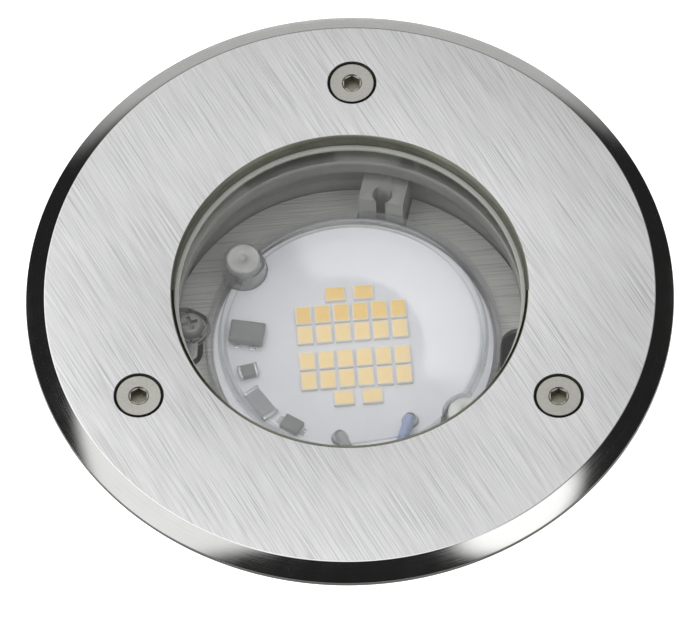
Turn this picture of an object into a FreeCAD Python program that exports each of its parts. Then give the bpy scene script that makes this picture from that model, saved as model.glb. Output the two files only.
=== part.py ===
"""In ground well light, built piece by piece in millimetres.

+Z is up, towards the glass. The origin is the bottom centre of the mounting sleeve, which stands
on its flat foot at z = 0. The three cover screws lie at 90, 210 and 330 degrees from +X.
"""
import FreeCAD, Part

import math
import os

import Sketcher

Vector = FreeCAD.Vector
UP = Vector(0, 0, 1)
FULL_TURN = 360

# Driving sizes, in millimetres and degrees: the cell's alias, its value and what it measures.
SIZES = (
    # Mounting sleeve, which stays in the ground.
    ("sleeve_height", 103.2, "foot to rim"),
    ("sleeve_bore_radius", 47.2, "inside of the wall"),
    ("sleeve_wall", 2.5, "thickness of the wall"),
    ("sleeve_floor", 3.0, "thickness of the foot"),
    ("drain_radius", 26.0, "opening in the foot"),
    ("rim_radius", 53.5, "outside of the rim"),
    ("rim_thickness", 3.0, "height of the rim"),
    ("rib_count", 6, "ribs that carry the housing"),
    ("rib_depth", 2.7, "how far a rib stands in from the wall"),
    ("rib_thickness", 2.2, "along the wall"),
    ("slot_width", 14.0, "cable slot in the wall"),
    ("slot_height", 20.0, "cable slot, foot to crown"),
    ("slot_start", 8.0, "lower edge of the cable slot"),
    # Trim ring and its screws.
    ("ring_radius", 55.0, "outside of the trim ring"),
    ("ring_thickness", 2.5, "at the face"),
    ("ring_bore_radius", 30.25, "opening over the glass"),
    ("ring_bevel_width", 3.2, "polished bevel, seen from above"),
    ("ring_bevel_height", 1.8, "polished bevel, seen from the side"),
    ("bore_edge", 0.3, "broken edge of the opening"),
    ("rim_gap", 0.3, "between the ring and the sleeve"),
    ("screw_circle_radius", 40.8, "centres of the cover screws"),
    ("screw_radius", 2.0, "thread of a cover screw"),
    ("screw_head_radius", 4.0, "countersunk head"),
    ("screw_length", 12.0, "head included"),
    ("screw_sink", 0.1, "head below the face of the ring"),
    ("screw_hole_gap", 0.3, "round the screw in the ring"),
    ("countersink_gap", 0.25, "round the head, at the face"),
    ("hex_across_flats", 2.5, "socket"),
    ("hex_depth", 1.8, "socket"),
    ("cover_screw_count", 3, "screws in the trim ring"),
    # Window.
    ("glass_radius", 33.0, "window"),
    ("glass_thickness", 4.0, "window"),
    ("glass_edge", 0.4, "ground edge of the window"),
    ("gasket_lip", 0.8, "gasket above the glass"),
    ("gasket_base", 1.0, "gasket below the glass"),
    ("gasket_wall", 1.3, "gasket round the glass"),
    ("gasket_overlap", 4.1, "lips over the glass"),
    ("gasket_gap", 0.05, "between the glass edge and the gasket"),
    ("seat_gap", 0.3, "between the gasket and its seat"),
    # Housing.
    ("flange_gap", 0.7, "between the flange and the sleeve"),
    ("flange_thickness", 8.0, "height of the flange"),
    ("ledge_radius", 29.3, "inside of the ledge under the glass"),
    ("ledge_thickness", 2.5, "ledge under the glass"),
    ("chamber_radius", 32.2, "upper chamber"),
    ("upper_wall", 3.4, "wall round the upper chamber"),
    ("wiring_step", 2.4, "lower chamber narrower than the upper"),
    ("lower_wall", 3.4, "wall round the lower chamber"),
    ("lamp_depth", 13.1, "plate below the seat of the gasket"),
    ("wiring_depth", 39.1, "floor below the plate"),
    ("floor_thickness", 4.0, "floor of the housing"),
    ("edge_round", 2.0, "cast edges of the housing"),
    ("boss_radius", 5.4, "bosses for the cover screws"),
    ("boss_length", 7.5, "below the flange"),
    ("insert_radius", 2.9, "threaded insert"),
    ("insert_length", 8.0, "threaded insert"),
    ("thread_gap", 0.05, "radial, between a screw and its thread"),
    ("tip_gap", 1.5, "below a screw's tip"),
    ("ear_width", 7.8, "open boss beside the module"),
    ("ear_inset", 5.1, "its hole from the chamber's wall"),
    ("ear_hole_radius", 1.7, "its hole"),
    ("ear_hole_depth", 10.0, "its hole"),
    ("ear_front", 1.5, "its flat front, from the hole's centre"),
    ("ear_rise", 7.4, "its top above the plate"),
    ("ear_angle", 79.0, "from +X"),
    ("earth_inset", 4.07, "earth screw from the chamber's wall"),
    ("earth_angle", 171.2, "earth screw, from +X"),
    ("earth_boss_radius", 3.1, "boss of the earth screw"),
    ("earth_drop", 1.0, "boss top below the plate's top"),
    ("plate_screw_inset", 3.8, "plate's screws from the chamber's wall"),
    ("plate_screw_angle", 38.0, "from -Y, to each side"),
    ("plate_boss_radius", 3.2, "bosses under the plate"),
    ("plate_boss_length", 14.0, "bosses under the plate"),
    # Mounting plate and the light module on it.
    ("plate_thickness", 1.5, "brushed plate"),
    ("plate_gap", 0.4, "between the plate and the wall"),
    ("notch_gap", 0.45, "round what passes the plate"),
    ("side_notch_gap", 0.1, "from the clear cover to a side notch"),
    ("right_notch_width", 10.0, "side notch at +X"),
    ("right_notch_y", -0.6, "its middle"),
    ("left_notch_width", 12.0, "side notch round the earth screw"),
    ("left_notch_y", 2.4, "its middle"),
    ("lead_notch_width", 11.0, "notch for the leads"),
    ("lead_notch_room", 1.7, "from the leads in to the edge of their notch"),
    ("lead_angle", -80.0, "direction in which the leads leave"),
    ("notch_round", 3.4, "inner corners of the notches"),
    ("module_x", 0.4, "middle of the module"),
    ("module_y", -0.3, "middle of the module"),
    ("module_turn", 5.0, "turn of the module on the plate"),
    ("pad_thickness", 0.5, "heat pad"),
    ("pad_inset", 0.6, "heat pad inside the board's edge"),
    ("board_thickness", 1.6, "circuit board"),
    ("board_inset", 1.4, "circuit board inside the cover's outside"),
    ("chip_long", 3.5, "light emitting chip"),
    ("chip_short", 2.8, "light emitting chip"),
    ("chip_height", 0.7, "light emitting chip"),
    ("chip_pitch", 3.27, "along a row"),
    ("pair_pitch", 4.9, "between the chips of an outer pair"),
    ("inner_row", 2.55, "middle of an inner row, from the array's middle"),
    ("outer_row", 6.42, "middle of an outer row"),
    ("pair_row", 10.2, "middle of an outer pair"),
    ("row_chips", 6, "chips in a row"),
    # Clear cover over the module and the two rivets that hold it.
    ("cap_inset", 6.8, "clear cover from the chamber's wall"),
    ("cap_wall", 0.9, "thickness of the clear cover"),
    ("cap_rim_height", 4.8, "rim above the plate"),
    ("band_inset", 2.2, "raised band inside the cover's outside"),
    ("band_width", 10.2, "raised band"),
    ("band_rise", 2.1, "band above the rim"),
    ("band_lean", 0.6, "how far the band's outer side leans in"),
    ("cap_gap", 0.05, "between the cover and what it stands on"),
    ("cap_slot_width", 12.5, "opening in the rim for the leads"),
    ("cap_slot_depth", 4.5, "how far that opening reaches in from the rim"),
    ("rivet_inset", 1.1, "centres of the rivets inside the cover's outside"),
    ("rivet_angle", 141.9, "from +X"),
    ("rivet_head_radius", 2.95, "head"),
    ("rivet_head_height", 1.6, "head"),
    ("rivet_shank_radius", 1.55, "shank"),
    ("rivet_gap", 0.12, "round the shank"),
    ("rivet_tail_radius", 2.1, "barbed tail under the plate"),
    ("rivet_tail_length", 2.4, "barbed tail under the plate"),
    ("dimple_radius", 0.75, "hollow in the head"),
    ("dimple_depth", 0.5, "hollow in the head"),
    ("lug_radius", 3.9, "column of the cover under a rivet's head"),
    ("lug_height", 4.8, "column, above the plate"),
    ("lug_clearance", 0.3, "round a column in the board, and round a rivet's head"),
    # Parts on the board: place, turn, length, width and height.
    ("rectifier_inset", 5.59, "bridge rectifier, from the board's edge"),
    ("rectifier_angle", 173.8, "bridge rectifier"),
    ("rectifier_turn", -8.0, "bridge rectifier"),
    ("rectifier_length", 6.0, "bridge rectifier"),
    ("rectifier_width", 4.1, "bridge rectifier"),
    ("rectifier_height", 1.9, "bridge rectifier"),
    ("pin_pitch", 2.6, "between the rectifier's pins"),
    ("pin_reach", 2.65, "rectifier's pins, from its middle"),
    ("pin_width", 0.8, "rectifier's pins"),
    ("pin_height", 0.5, "rectifier's pins"),
    ("absorber_inset", 5.24, "surge absorber, from the board's edge"),
    ("absorber_angle", 196.4, "surge absorber"),
    ("absorber_turn", 15.0, "surge absorber"),
    ("absorber_length", 3.4, "surge absorber"),
    ("absorber_width", 2.4, "surge absorber"),
    ("absorber_height", 1.3, "surge absorber"),
    ("resistor_inset", 4.58, "chip resistor, from the board's edge"),
    ("resistor_angle", 215.6, "chip resistor"),
    ("resistor_turn", -53.0, "chip resistor"),
    ("resistor_length", 6.3, "chip resistor"),
    ("resistor_width", 3.1, "chip resistor"),
    ("resistor_height", 0.7, "chip resistor"),
    ("driver_inset", 5.25, "driver chip, from the board's edge"),
    ("driver_angle", 236.3, "driver chip"),
    ("driver_turn", -31.0, "driver chip"),
    ("driver_length", 3.5, "driver chip"),
    ("driver_width", 2.6, "driver chip"),
    ("driver_height", 1.1, "driver chip"),
    ("leg_reach", 0.9, "driver chip's legs beyond its body"),
    ("leg_width", 1.3, "driver chip's legs"),
    ("leg_thickness", 0.25, "driver chip's legs"),
    ("solder_radius", 1.5, "solder joint"),
    ("solder_top_radius", 0.8, "solder joint"),
    ("solder_height", 0.4, "solder joint"),
    ("live_inset", 5.97, "solder joint of the live lead, from the board's edge"),
    ("live_angle", 263.0, "solder joint of the live lead"),
    ("neutral_inset", 6.5, "solder joint of the neutral lead, from the board's edge"),
    ("neutral_angle", 304.0, "solder joint of the neutral lead"),
    # Screws, leads and terminals inside the housing.
    ("small_screw_radius", 1.45, "plate and earth screws"),
    ("small_head_radius", 2.3, "plate and earth screws"),
    ("small_head_height", 1.7, "plate and earth screws"),
    ("small_head_round", 0.9, "edge of their heads"),
    ("small_screw_length", 8.0, "thread depth below their heads"),
    ("recess_turn", 20.0, "cross recess"),
    ("cross_width", 0.7, "cross recess"),
    ("cross_length", 2.7, "cross recess"),
    ("cross_depth", 0.9, "cross recess"),
    ("tag_thickness", 0.8, "earth tag"),
    ("tag_ring_radius", 2.9, "earth tag"),
    ("tag_barrel_radius", 1.3, "earth tag's barrel"),
    ("tag_barrel_length", 5.0, "earth tag's barrel"),
    ("washer_thickness", 0.5, "toothed washer"),
    ("washer_radius", 2.6, "toothed washer"),
    ("tooth_count", 8, "gaps in the toothed washer"),
    ("tooth_gap_radius", 0.4, "gaps in the toothed washer"),
    ("lead_radius", 0.95, "insulated lead"),
    ("lead_pitch", 3.6, "between the leads where they leave the module"),
    ("lead_drop_inset", 4.6, "from the chamber's wall to where the leads go down"),
    ("lead_swing", 9.6, "how far the leads swing out before the block"),
    ("lead_rise", 9.1, "where they swing, above the wire entries"),
    ("block_x", -6.0, "middle of the terminal block"),
    ("block_length", 27.0, "terminal block, along Y"),
    ("block_width", 16.0, "terminal block, along X"),
    ("block_height", 13.0, "terminal block"),
    ("pole_pitch", 8.5, "between its poles"),
    ("entry_radius", 1.9, "its wire entries"),
    ("entry_height", 5.0, "its wire entries above the floor"),
    ("clamp_radius", 2.6, "its brass sleeves"),
    ("clamp_length", 12.0, "its brass sleeves"),
    ("clamp_screw_radius", 1.45, "its screws"),
    ("clamp_screw_offset", 3.6, "its screws from its middle"),
    ("well_radius", 2.3, "its screw wells"),
    ("slot_turn", 25.0, "slots of its screws"),
    ("block_thread", 2.8, "depth of its threads in the floor"),
    ("thread_room", 0.4, "below the tips of its screws"),
    # Cable gland in the floor of the housing.
    ("gland_x", 15.0, "middle of the gland"),
    ("gland_thread_radius", 7.9, "thread through the floor"),
    ("gland_bore_radius", 5.6, "inside of its body"),
    ("gland_flats", 20.0, "across the flats of body and nut"),
    ("gland_flange", 5.0, "hexagon of the body"),
    ("gland_neck_length", 8.5, "neck under the hexagon"),
    ("gland_stub_length", 10.5, "thread above the hexagon's ring"),
    ("gland_gap", 0.15, "round a thread"),
    ("oring_thickness", 1.5, "ring between the gland and the floor"),
    ("locknut_flats", 21.0, "nut inside the housing"),
    ("locknut_height", 4.5, "nut inside the housing"),
    ("nut_gap", 0.4, "between the nut and the hexagon"),
    ("nut_length", 15.5, "clamping nut"),
    ("nut_mouth_radius", 4.8, "mouth of the nut"),
    ("nut_dome", 4.0, "closed end of the nut"),
    ("nut_end_wall", 2.5, "flat end of the nut round its mouth"),
    ("seal_bore_radius", 4.0, "cable passage"),
    ("seal_gap", 0.3, "round the seal"),
    ("seal_length", 10.5, "rubber seal"),
)


class Size:
    """A size worked out from the sheet: its value now, and the same sum as an expression."""

    def __init__(self, value, text):
        self.value = value
        self.text = text

    def __add__(self, other):
        other = size(other)
        return Size(self.value + other.value, f"({self.text} + {other.text})")

    def __sub__(self, other):
        other = size(other)
        return Size(self.value - other.value, f"({self.text} - {other.text})")

    def __mul__(self, other):
        other = size(other)
        return Size(self.value * other.value, f"({self.text} * {other.text})")

    def __truediv__(self, other):
        other = size(other)
        return Size(self.value / other.value, f"({self.text} / {other.text})")

    def __neg__(self):
        return Size(-self.value, f"(0 - {self.text})")

    def __radd__(self, other):
        return size(other) + self

    def __rsub__(self, other):
        return size(other) - self

    def __rmul__(self, other):
        return size(other) * self


def size(number):
    """A plain number as a Size; a Size as it is."""
    if isinstance(number, Size):
        return number
    return Size(number, f"{number}" if number >= 0 else f"(0 - {-number})")


def cosine(angle):
    """Cosine of a Size in degrees."""
    angle = size(angle)
    return Size(math.cos(math.radians(angle.value)), f"cos({angle.text} * 1 deg)")


def sine(angle):
    """Sine of a Size in degrees."""
    angle = size(angle)
    return Size(math.sin(math.radians(angle.value)), f"sin({angle.text} * 1 deg)")


def square_root(number):
    """Square root of a Size."""
    return Size(math.sqrt(number.value), f"sqrt({number.text})")


def polar(radius, angle):
    """The x and y of a point at a radius and an angle from +X."""
    return radius * cosine(angle), radius * sine(angle)


def turned(x, y, angle):
    """The point x, y turned about the origin."""
    return x * cosine(angle) - y * sine(angle), x * sine(angle) + y * cosine(angle)


def near_edge(inset, angle):
    """A place on the board, given by its distance from the edge and its angle from +X."""
    x, y = polar(board_radius - inset, angle)
    return D.module_x + x, D.module_y + y


class Sheet:
    """The spreadsheet of driving sizes, read as attributes."""

    def __init__(self, document):
        self.cells = document.addObject("Spreadsheet::Sheet", "Sizes")
        for row, (alias, value, meaning) in enumerate(SIZES, 1):
            self.cells.set(f"A{row}", meaning)
            self.cells.set(f"B{row}", f"{value}")
            self.cells.setAlias(f"B{row}", alias)
            setattr(self, alias, Size(value, f"Sizes.{alias}"))


doc = FreeCAD.newDocument("WellLight")
D = Sheet(doc)
doc.recompute()
SUB_PARTS = []

# Levels and radii that several pieces share.
ring_low = D.sleeve_height + D.rim_gap
ring_top = ring_low + D.ring_thickness
sleeve_radius = D.sleeve_bore_radius + D.sleeve_wall
flange_low = ring_low - D.flange_thickness
glass_low = ring_low - D.gasket_lip - D.glass_thickness
seat_floor = glass_low - D.gasket_base
gasket_radius = D.glass_radius + D.gasket_gap + D.gasket_wall
seat_radius = gasket_radius + D.seat_gap
flange_radius = D.sleeve_bore_radius - D.flange_gap
wiring_radius = D.chamber_radius - D.wiring_step
plate_radius = D.chamber_radius - D.plate_gap
cap_radius = D.chamber_radius - D.cap_inset
board_radius = cap_radius - D.board_inset
ear_circle_radius = D.chamber_radius - D.ear_inset
lead_drop_radius = D.chamber_radius - D.lead_drop_inset
plate_top = seat_floor - D.lamp_depth
plate_low = plate_top - D.plate_thickness
floor_top = plate_low - D.wiring_depth
housing_bottom = floor_top - D.floor_thickness
pad_top = plate_top + D.pad_thickness
board_top = pad_top + D.board_thickness
cap_low = plate_top + D.cap_gap
lug_top = plate_top + D.lug_height
earth_boss_top = plate_top - D.earth_drop
earth_x, earth_y = polar(D.chamber_radius - D.earth_inset, D.earth_angle)
insert_top = ring_low - D.thread_gap
gland_flange_top = housing_bottom - D.oring_thickness
gland_flange_low = gland_flange_top - D.gland_flange
nut_top = gland_flange_low - D.nut_gap
nut_low = nut_top - D.nut_length
nut_shoulder = nut_low + D.nut_dome
live_joint = near_edge(D.live_inset, D.live_angle)
neutral_joint = near_edge(D.neutral_inset, D.neutral_angle)


def bind(item, **properties):
    """Ties each named property of an object to a Size."""
    for name, value in properties.items():
        item.setExpression(name, size(value).text)


def place(item, x=0, y=0, z=0, turn=0, axis=UP):
    """Ties an object's place and its turn about an axis through that place."""
    item.Placement = FreeCAD.Placement(Vector(0, 0, 0), FreeCAD.Rotation(axis, 1))
    for name, value in (("Base.x", x), ("Base.y", y), ("Base.z", z), ("Rotation.Angle", turn)):
        item.setExpression(f"Placement.{name}", size(value).text)
    return item


def sub_part(item, node):
    """Labels an object as the sub-part of that node's name."""
    item.Label = node
    SUB_PARTS.append(item)
    return item


# Part primitives, with every length tied to the sheet.
def cylinder(radius, height, x=0, y=0, z=0, turn=0, axis=UP):
    """A cylinder that stands on x, y, z."""
    item = doc.addObject("Part::Cylinder", "Cylinder")
    bind(item, Radius=radius, Height=height)
    return place(item, x, y, z, turn, axis)


def cone(low_radius, high_radius, height, x=0, y=0, z=0):
    """A cone or a frustum that stands on x, y, z."""
    item = doc.addObject("Part::Cone", "Cone")
    bind(item, Radius1=low_radius, Radius2=high_radius, Height=height)
    return place(item, x, y, z)


def block(length, width, height, x=0, y=0, z=0, turn=0):
    """A box centred on x, y and standing on z, turned about its own middle."""
    item = doc.addObject("Part::Box", "Box")
    bind(item, Length=length, Width=width, Height=height)
    length, width = size(length), size(width)
    back_x, back_y = turned(-(length / 2), -(width / 2), turn)
    return place(item, x + back_x, y + back_y, z, turn)


def hexagon(flats, height, x=0, y=0, z=0, turn=0):
    """A hexagonal prism that stands on x, y, z."""
    item = doc.addObject("Part::Prism", "Hexagon")
    item.Polygon = 6
    bind(item, Circumradius=size(flats) / 2 / cosine(30), Height=height)
    return place(item, x, y, z, turn)


def fuse(*items):
    """The union of several objects."""
    item = doc.addObject("Part::MultiFuse", "Fuse")
    item.Shapes = list(items)
    item.Refine = True
    return item


def cut(base, *tools):
    """The first object less the others."""
    item = doc.addObject("Part::Cut", "Cut")
    item.Base = base
    item.Tool = tools[0] if len(tools) == 1 else fuse(*tools)
    item.Refine = True
    return item


def group(*items):
    """Separate solids kept in one node."""
    item = doc.addObject("Part::Compound", "Group")
    item.Links = list(items)
    return item


# Part Design bodies, with sketches tied to the sheet.
def origin_plane(body, role):
    """One of a body's own origin planes."""
    return next(plane for plane in body.Origin.OriginFeatures if plane.Role == role)


def sketch_on(body, role, level=0):
    """A sketch on a body's origin plane, raised by a level along the plane's normal."""
    sketch = body.newObject("Sketcher::SketchObject", "Sketch")
    sketch.AttachmentSupport = [(origin_plane(body, role), "")]
    sketch.MapMode = "FlatFace"
    sketch.setExpression("AttachmentOffset.Base.z", size(level).text)
    return sketch


def hold_point(sketch, index, point, x, y):
    """Ties a point of a sketch to its distances from the sketch's origin."""
    for kind, axis, distance in (("DistanceX", -2, size(x)), ("DistanceY", -1, size(y))):
        if distance.text == "0":
            sketch.addConstraint(Sketcher.Constraint("PointOnObject", index, point, axis))
            continue
        number = sketch.addConstraint(
            Sketcher.Constraint(kind, -1, 1, index, point, distance.value))
        name = f"{kind}{index}_{point}"
        sketch.renameConstraint(number, name)
        sketch.setExpression(f"Constraints.{name}", distance.text)


def draw_outline(sketch, corners):
    """A closed outline through the corners."""
    corners = [(size(x), size(y)) for x, y in corners]
    first = sketch.GeometryCount
    ends = [Vector(x.value, y.value, 0) for x, y in corners]
    count = len(corners)
    for start, end in zip(ends, ends[1:] + ends[:1]):
        sketch.addGeometry(Part.LineSegment(start, end))
    for step in range(count):
        sketch.addConstraint(
            Sketcher.Constraint("Coincident", first + step, 2, first + (step + 1) % count, 1))
    for step, (x, y) in enumerate(corners):
        hold_point(sketch, first + step, 1, x, y)


def hold_radius(sketch, index, radius):
    """Ties the radius of a circle or an arc in a sketch."""
    number = sketch.addConstraint(Sketcher.Constraint("Radius", index, radius.value))
    sketch.renameConstraint(number, f"Radius{index}")
    sketch.setExpression(f"Constraints.Radius{index}", radius.text)


def draw_circle(sketch, x, y, radius):
    """A circle in a sketch."""
    x, y, radius = size(x), size(y), size(radius)
    index = sketch.addGeometry(Part.Circle(Vector(x.value, y.value, 0), UP, radius.value))
    hold_point(sketch, index, 3, x, y)
    hold_radius(sketch, index, radius)


def new_body(name):
    """An empty body."""
    return doc.addObject("PartDesign::Body", name)


def revolve(body, corners):
    """Adds the outline, drawn as radius and height, turned about Z."""
    sketch = sketch_on(body, "XZ_Plane")
    draw_outline(sketch, corners)
    feature = body.newObject("PartDesign::Revolution", "Revolution")
    feature.Profile = sketch
    feature.ReferenceAxis = (sketch, ["V_Axis"])
    feature.Angle = FULL_TURN
    sketch.Visibility = False
    body.Tip = feature
    return feature


def pad(body, level, height, draw):
    """Adds what draw puts in a sketch at a level, upwards."""
    sketch = sketch_on(body, "XY_Plane", level)
    draw(sketch)
    feature = body.newObject("PartDesign::Pad", "Pad")
    feature.Profile = sketch
    bind(feature, Length=height)
    body.Tip = feature
    return feature


def pocket(body, level, depth, draw):
    """Cuts what draw puts in a sketch at a level, downwards."""
    doc.recompute()
    before = body.Shape.Volume
    sketch = sketch_on(body, "XY_Plane", level)
    draw(sketch)
    feature = body.newObject("PartDesign::Pocket", "Pocket")
    feature.Profile = sketch
    bind(feature, Length=depth)
    body.Tip = feature
    doc.recompute()
    if body.Shape.Volume >= before:
        raise RuntimeError(f"{body.Name}: a pocket cuts nothing")
    return feature


def repeat_round(body, feature, count):
    """Repeats a feature of a body evenly about Z."""
    pattern = body.newObject("PartDesign::PolarPattern", "PolarPattern")
    pattern.Originals = [feature]
    pattern.Axis = (feature.Profile[0], ["N_Axis"])
    pattern.Angle = FULL_TURN
    bind(pattern, Occurrences=count)
    body.Tip = pattern
    doc.recompute()
    return pattern


def edges_at(feature, radius, level):
    """Names of the round edges of a feature at a radius about Z and a level."""
    names = []
    for number, edge in enumerate(feature.Shape.Edges, 1):
        curve = edge.Curve
        if not isinstance(curve, Part.Circle):
            continue
        near_axis = math.hypot(curve.Center.x, curve.Center.y) < 1e-6
        near_level = abs(curve.Center.z - size(level).value) < 1e-6
        if near_axis and near_level and abs(curve.Radius - size(radius).value) < 1e-6:
            names.append(f"Edge{number}")
    return names


def dress_edges(body, kind, amount, radius, level):
    """Rounds (Fillet) or bevels (Chamfer) the round edge at a radius and a level."""
    doc.recompute()
    base = body.Tip
    feature = body.newObject(f"PartDesign::{kind}", kind)
    feature.Base = (base, edges_at(base, radius, level))
    bind(feature, **{"Radius" if kind == "Fillet" else "Size": amount})
    body.Tip = feature
    return feature


# Mounting sleeve.
def mounting_sleeve():
    """The pot that is set in the ground: wall, rim, foot, carrying ribs and two cable slots."""
    body = new_body("Sleeve")
    rim_low = D.sleeve_height - D.rim_thickness
    revolve(body, (
        (D.drain_radius, 0),
        (sleeve_radius, 0),
        (sleeve_radius, rim_low),
        (D.rim_radius, rim_low),
        (D.rim_radius, D.sleeve_height),
        (D.sleeve_bore_radius, D.sleeve_height),
        (D.sleeve_bore_radius, D.sleeve_floor),
        (D.drain_radius, D.sleeve_floor),
    ))
    rib_out = D.sleeve_bore_radius + D.sleeve_wall / 2
    rib_in = D.sleeve_bore_radius - D.rib_depth
    half = D.rib_thickness / 2
    rib = pad(body, D.sleeve_floor / 2, flange_low - D.sleeve_floor / 2, lambda sketch: draw_outline(
        sketch, ((rib_in, -half), (rib_out, -half), (rib_out, half), (rib_in, half))))
    repeat_round(body, rib, D.rib_count)
    half = D.slot_width / 2
    reach = sleeve_radius + D.sleeve_wall
    crown = D.slot_start + D.slot_height
    pocket(body, crown, D.slot_height, lambda sketch: draw_outline(
        sketch, ((-half, -reach), (half, -reach), (half, reach), (-half, reach))))
    return sub_part(body, "mounting_sleeve")


# Housing and what is pressed or screwed into it.
def ear_wall(sketch):
    """Outline of the open boss: flat front, straight sides into the wall."""
    half = D.ear_width / 2
    front = ear_circle_radius - D.ear_front
    back = D.chamber_radius + D.upper_wall / 2
    corners = ((front, -half), (back, -half), (back, half), (front, half))
    draw_outline(sketch, [turned(size(x), size(y), D.ear_angle) for x, y in corners])


def plate_screw_places():
    """Places of the two screws that hold the plate, one each side of -Y."""
    radius = D.chamber_radius - D.plate_screw_inset
    return [polar(radius, side * D.plate_screw_angle - 90) for side in (-1, 1)]


def web(sketch, x, y, half, reach):
    """A band from a boss's middle out to the wall."""
    distance = square_root(x * x + y * y)
    along_x, along_y = x / distance, y / distance
    across_x, across_y = -(along_y * half), along_x * half
    far_x, far_y = along_x * reach, along_y * reach
    draw_outline(sketch, (
        (x + across_x, y + across_y),
        (x - across_x, y - across_y),
        (far_x - across_x, far_y - across_y),
        (far_x + across_x, far_y + across_y),
    ))


def housing():
    """The cast cup: flange, ledge for the window, two chambers, bosses and the gland's hole."""
    body = new_body("Housing")
    upper_radius = D.chamber_radius + D.upper_wall
    lower_radius = wiring_radius + D.lower_wall
    step_low = plate_low - D.upper_wall
    revolve(body, (
        (0, housing_bottom),
        (lower_radius, housing_bottom),
        (lower_radius, step_low),
        (upper_radius, step_low + (upper_radius - lower_radius)),
        (upper_radius, flange_low),
        (flange_radius, flange_low),
        (flange_radius, ring_low),
        (seat_radius, ring_low),
        (seat_radius, seat_floor),
        (D.ledge_radius, seat_floor),
        (D.ledge_radius, seat_floor - D.ledge_thickness),
        (D.chamber_radius, seat_floor - D.ledge_thickness),
        (D.chamber_radius, plate_low),
        (wiring_radius, plate_low),
        (wiring_radius, floor_top),
        (0, floor_top),
    ))
    dress_edges(body, "Fillet", D.edge_round, lower_radius, housing_bottom)
    screw_x, screw_y = polar(D.screw_circle_radius, 90)
    boss_low = flange_low - D.boss_length
    boss = pad(body, boss_low, D.boss_length, lambda sketch: draw_circle(
        sketch, screw_x, screw_y, D.boss_radius))
    repeat_round(body, boss, D.cover_screw_count)
    pad(body, floor_top, plate_top + D.ear_rise - floor_top, ear_wall)
    middle = wiring_radius + D.lower_wall / 2
    low = plate_low - D.plate_boss_length
    pad(body, low, earth_boss_top - low, lambda sketch: draw_circle(
        sketch, earth_x, earth_y, D.earth_boss_radius))
    pad(body, low, earth_boss_top - low, lambda sketch: web(
        sketch, earth_x, earth_y, D.earth_boss_radius / 2, middle))
    for x, y in plate_screw_places():
        pad(body, low, D.plate_boss_length, lambda sketch: draw_circle(
            sketch, x, y, D.plate_boss_radius))
        pad(body, low, D.plate_boss_length, lambda sketch: web(
            sketch, x, y, D.plate_boss_radius, middle))
    insert_hole = pocket(body, ring_low, D.insert_length + D.thread_gap, lambda sketch: draw_circle(
        sketch, screw_x, screw_y, D.insert_radius))
    repeat_round(body, insert_hole, D.cover_screw_count)
    tip_hole = pocket(body, ring_low, D.screw_length - D.ring_thickness + D.tip_gap,
                      lambda sketch: draw_circle(sketch, screw_x, screw_y,
                                                 D.screw_radius + D.screw_hole_gap))
    repeat_round(body, tip_hole, D.cover_screw_count)
    ear_x, ear_y = polar(ear_circle_radius, D.ear_angle)
    pocket(body, plate_top + D.ear_rise, D.ear_hole_depth, lambda sketch: draw_circle(
        sketch, ear_x, ear_y, D.ear_hole_radius))
    hole = D.small_screw_radius + D.thread_gap
    pocket(body, earth_boss_top, D.small_screw_length, lambda sketch: draw_circle(
        sketch, earth_x, earth_y, hole))
    for x, y in plate_screw_places():
        pocket(body, plate_low, D.small_screw_length, lambda sketch: draw_circle(
            sketch, x, y, hole))
    pocket(body, floor_top, D.floor_thickness, lambda sketch: draw_circle(
        sketch, D.gland_x, 0, D.gland_thread_radius + D.gland_gap))
    for y in block_screw_places():
        pocket(body, floor_top, D.block_thread, lambda sketch: draw_circle(
            sketch, D.block_x, y, hole))
    return sub_part(body, "housing")


def cover_screw_angles():
    """Angles of the cover screws, from the back one on."""
    count = int(D.cover_screw_count.value)
    return [90 + step * Size(FULL_TURN, f"{FULL_TURN}") / D.cover_screw_count for step in range(count)]


def threaded_inserts():
    """Brass thread inserts pressed into the bosses."""
    tubes = []
    for angle in cover_screw_angles():
        x, y = polar(D.screw_circle_radius, angle)
        low = ring_low - D.insert_length
        tubes.append(cut(
            cylinder(D.insert_radius, insert_top - low, x, y, low),
            cylinder(D.screw_radius + D.thread_gap, D.insert_length, x, y, low)))
    return sub_part(group(*tubes), "threaded_inserts")


def small_screw(x, y, seat):
    """A pan head screw with a cross recess, its head on a seat."""
    head = cylinder(D.small_head_radius, D.small_head_height, x, y, seat)
    rounded = doc.addObject("Part::Fillet", "RoundHead")
    rounded.Base = head
    doc.recompute()
    top = seat.value + D.small_head_height.value
    edge = next(number for number, line in enumerate(head.Shape.Edges, 1)
                if isinstance(line.Curve, Part.Circle) and abs(line.Curve.Center.z - top) < 1e-6)
    amount = D.small_head_round.value
    rounded.Edges = [(edge, amount, amount)]
    shank = cylinder(D.small_screw_radius, D.small_screw_length - D.tip_gap, x, y,
                     seat - D.small_screw_length + D.tip_gap)
    top_level = seat + D.small_head_height - D.cross_depth
    bars = [block(length, width, D.cross_depth * 2, x, y, top_level, D.recess_turn)
            for length, width in ((D.cross_length, D.cross_width), (D.cross_width, D.cross_length))]
    return cut(fuse(rounded, shank), *bars)


def plate_screws():
    """The two screws that hold the plate down."""
    return sub_part(group(*[small_screw(x, y, plate_top) for x, y in plate_screw_places()]),
                    "plate_screws")


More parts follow.
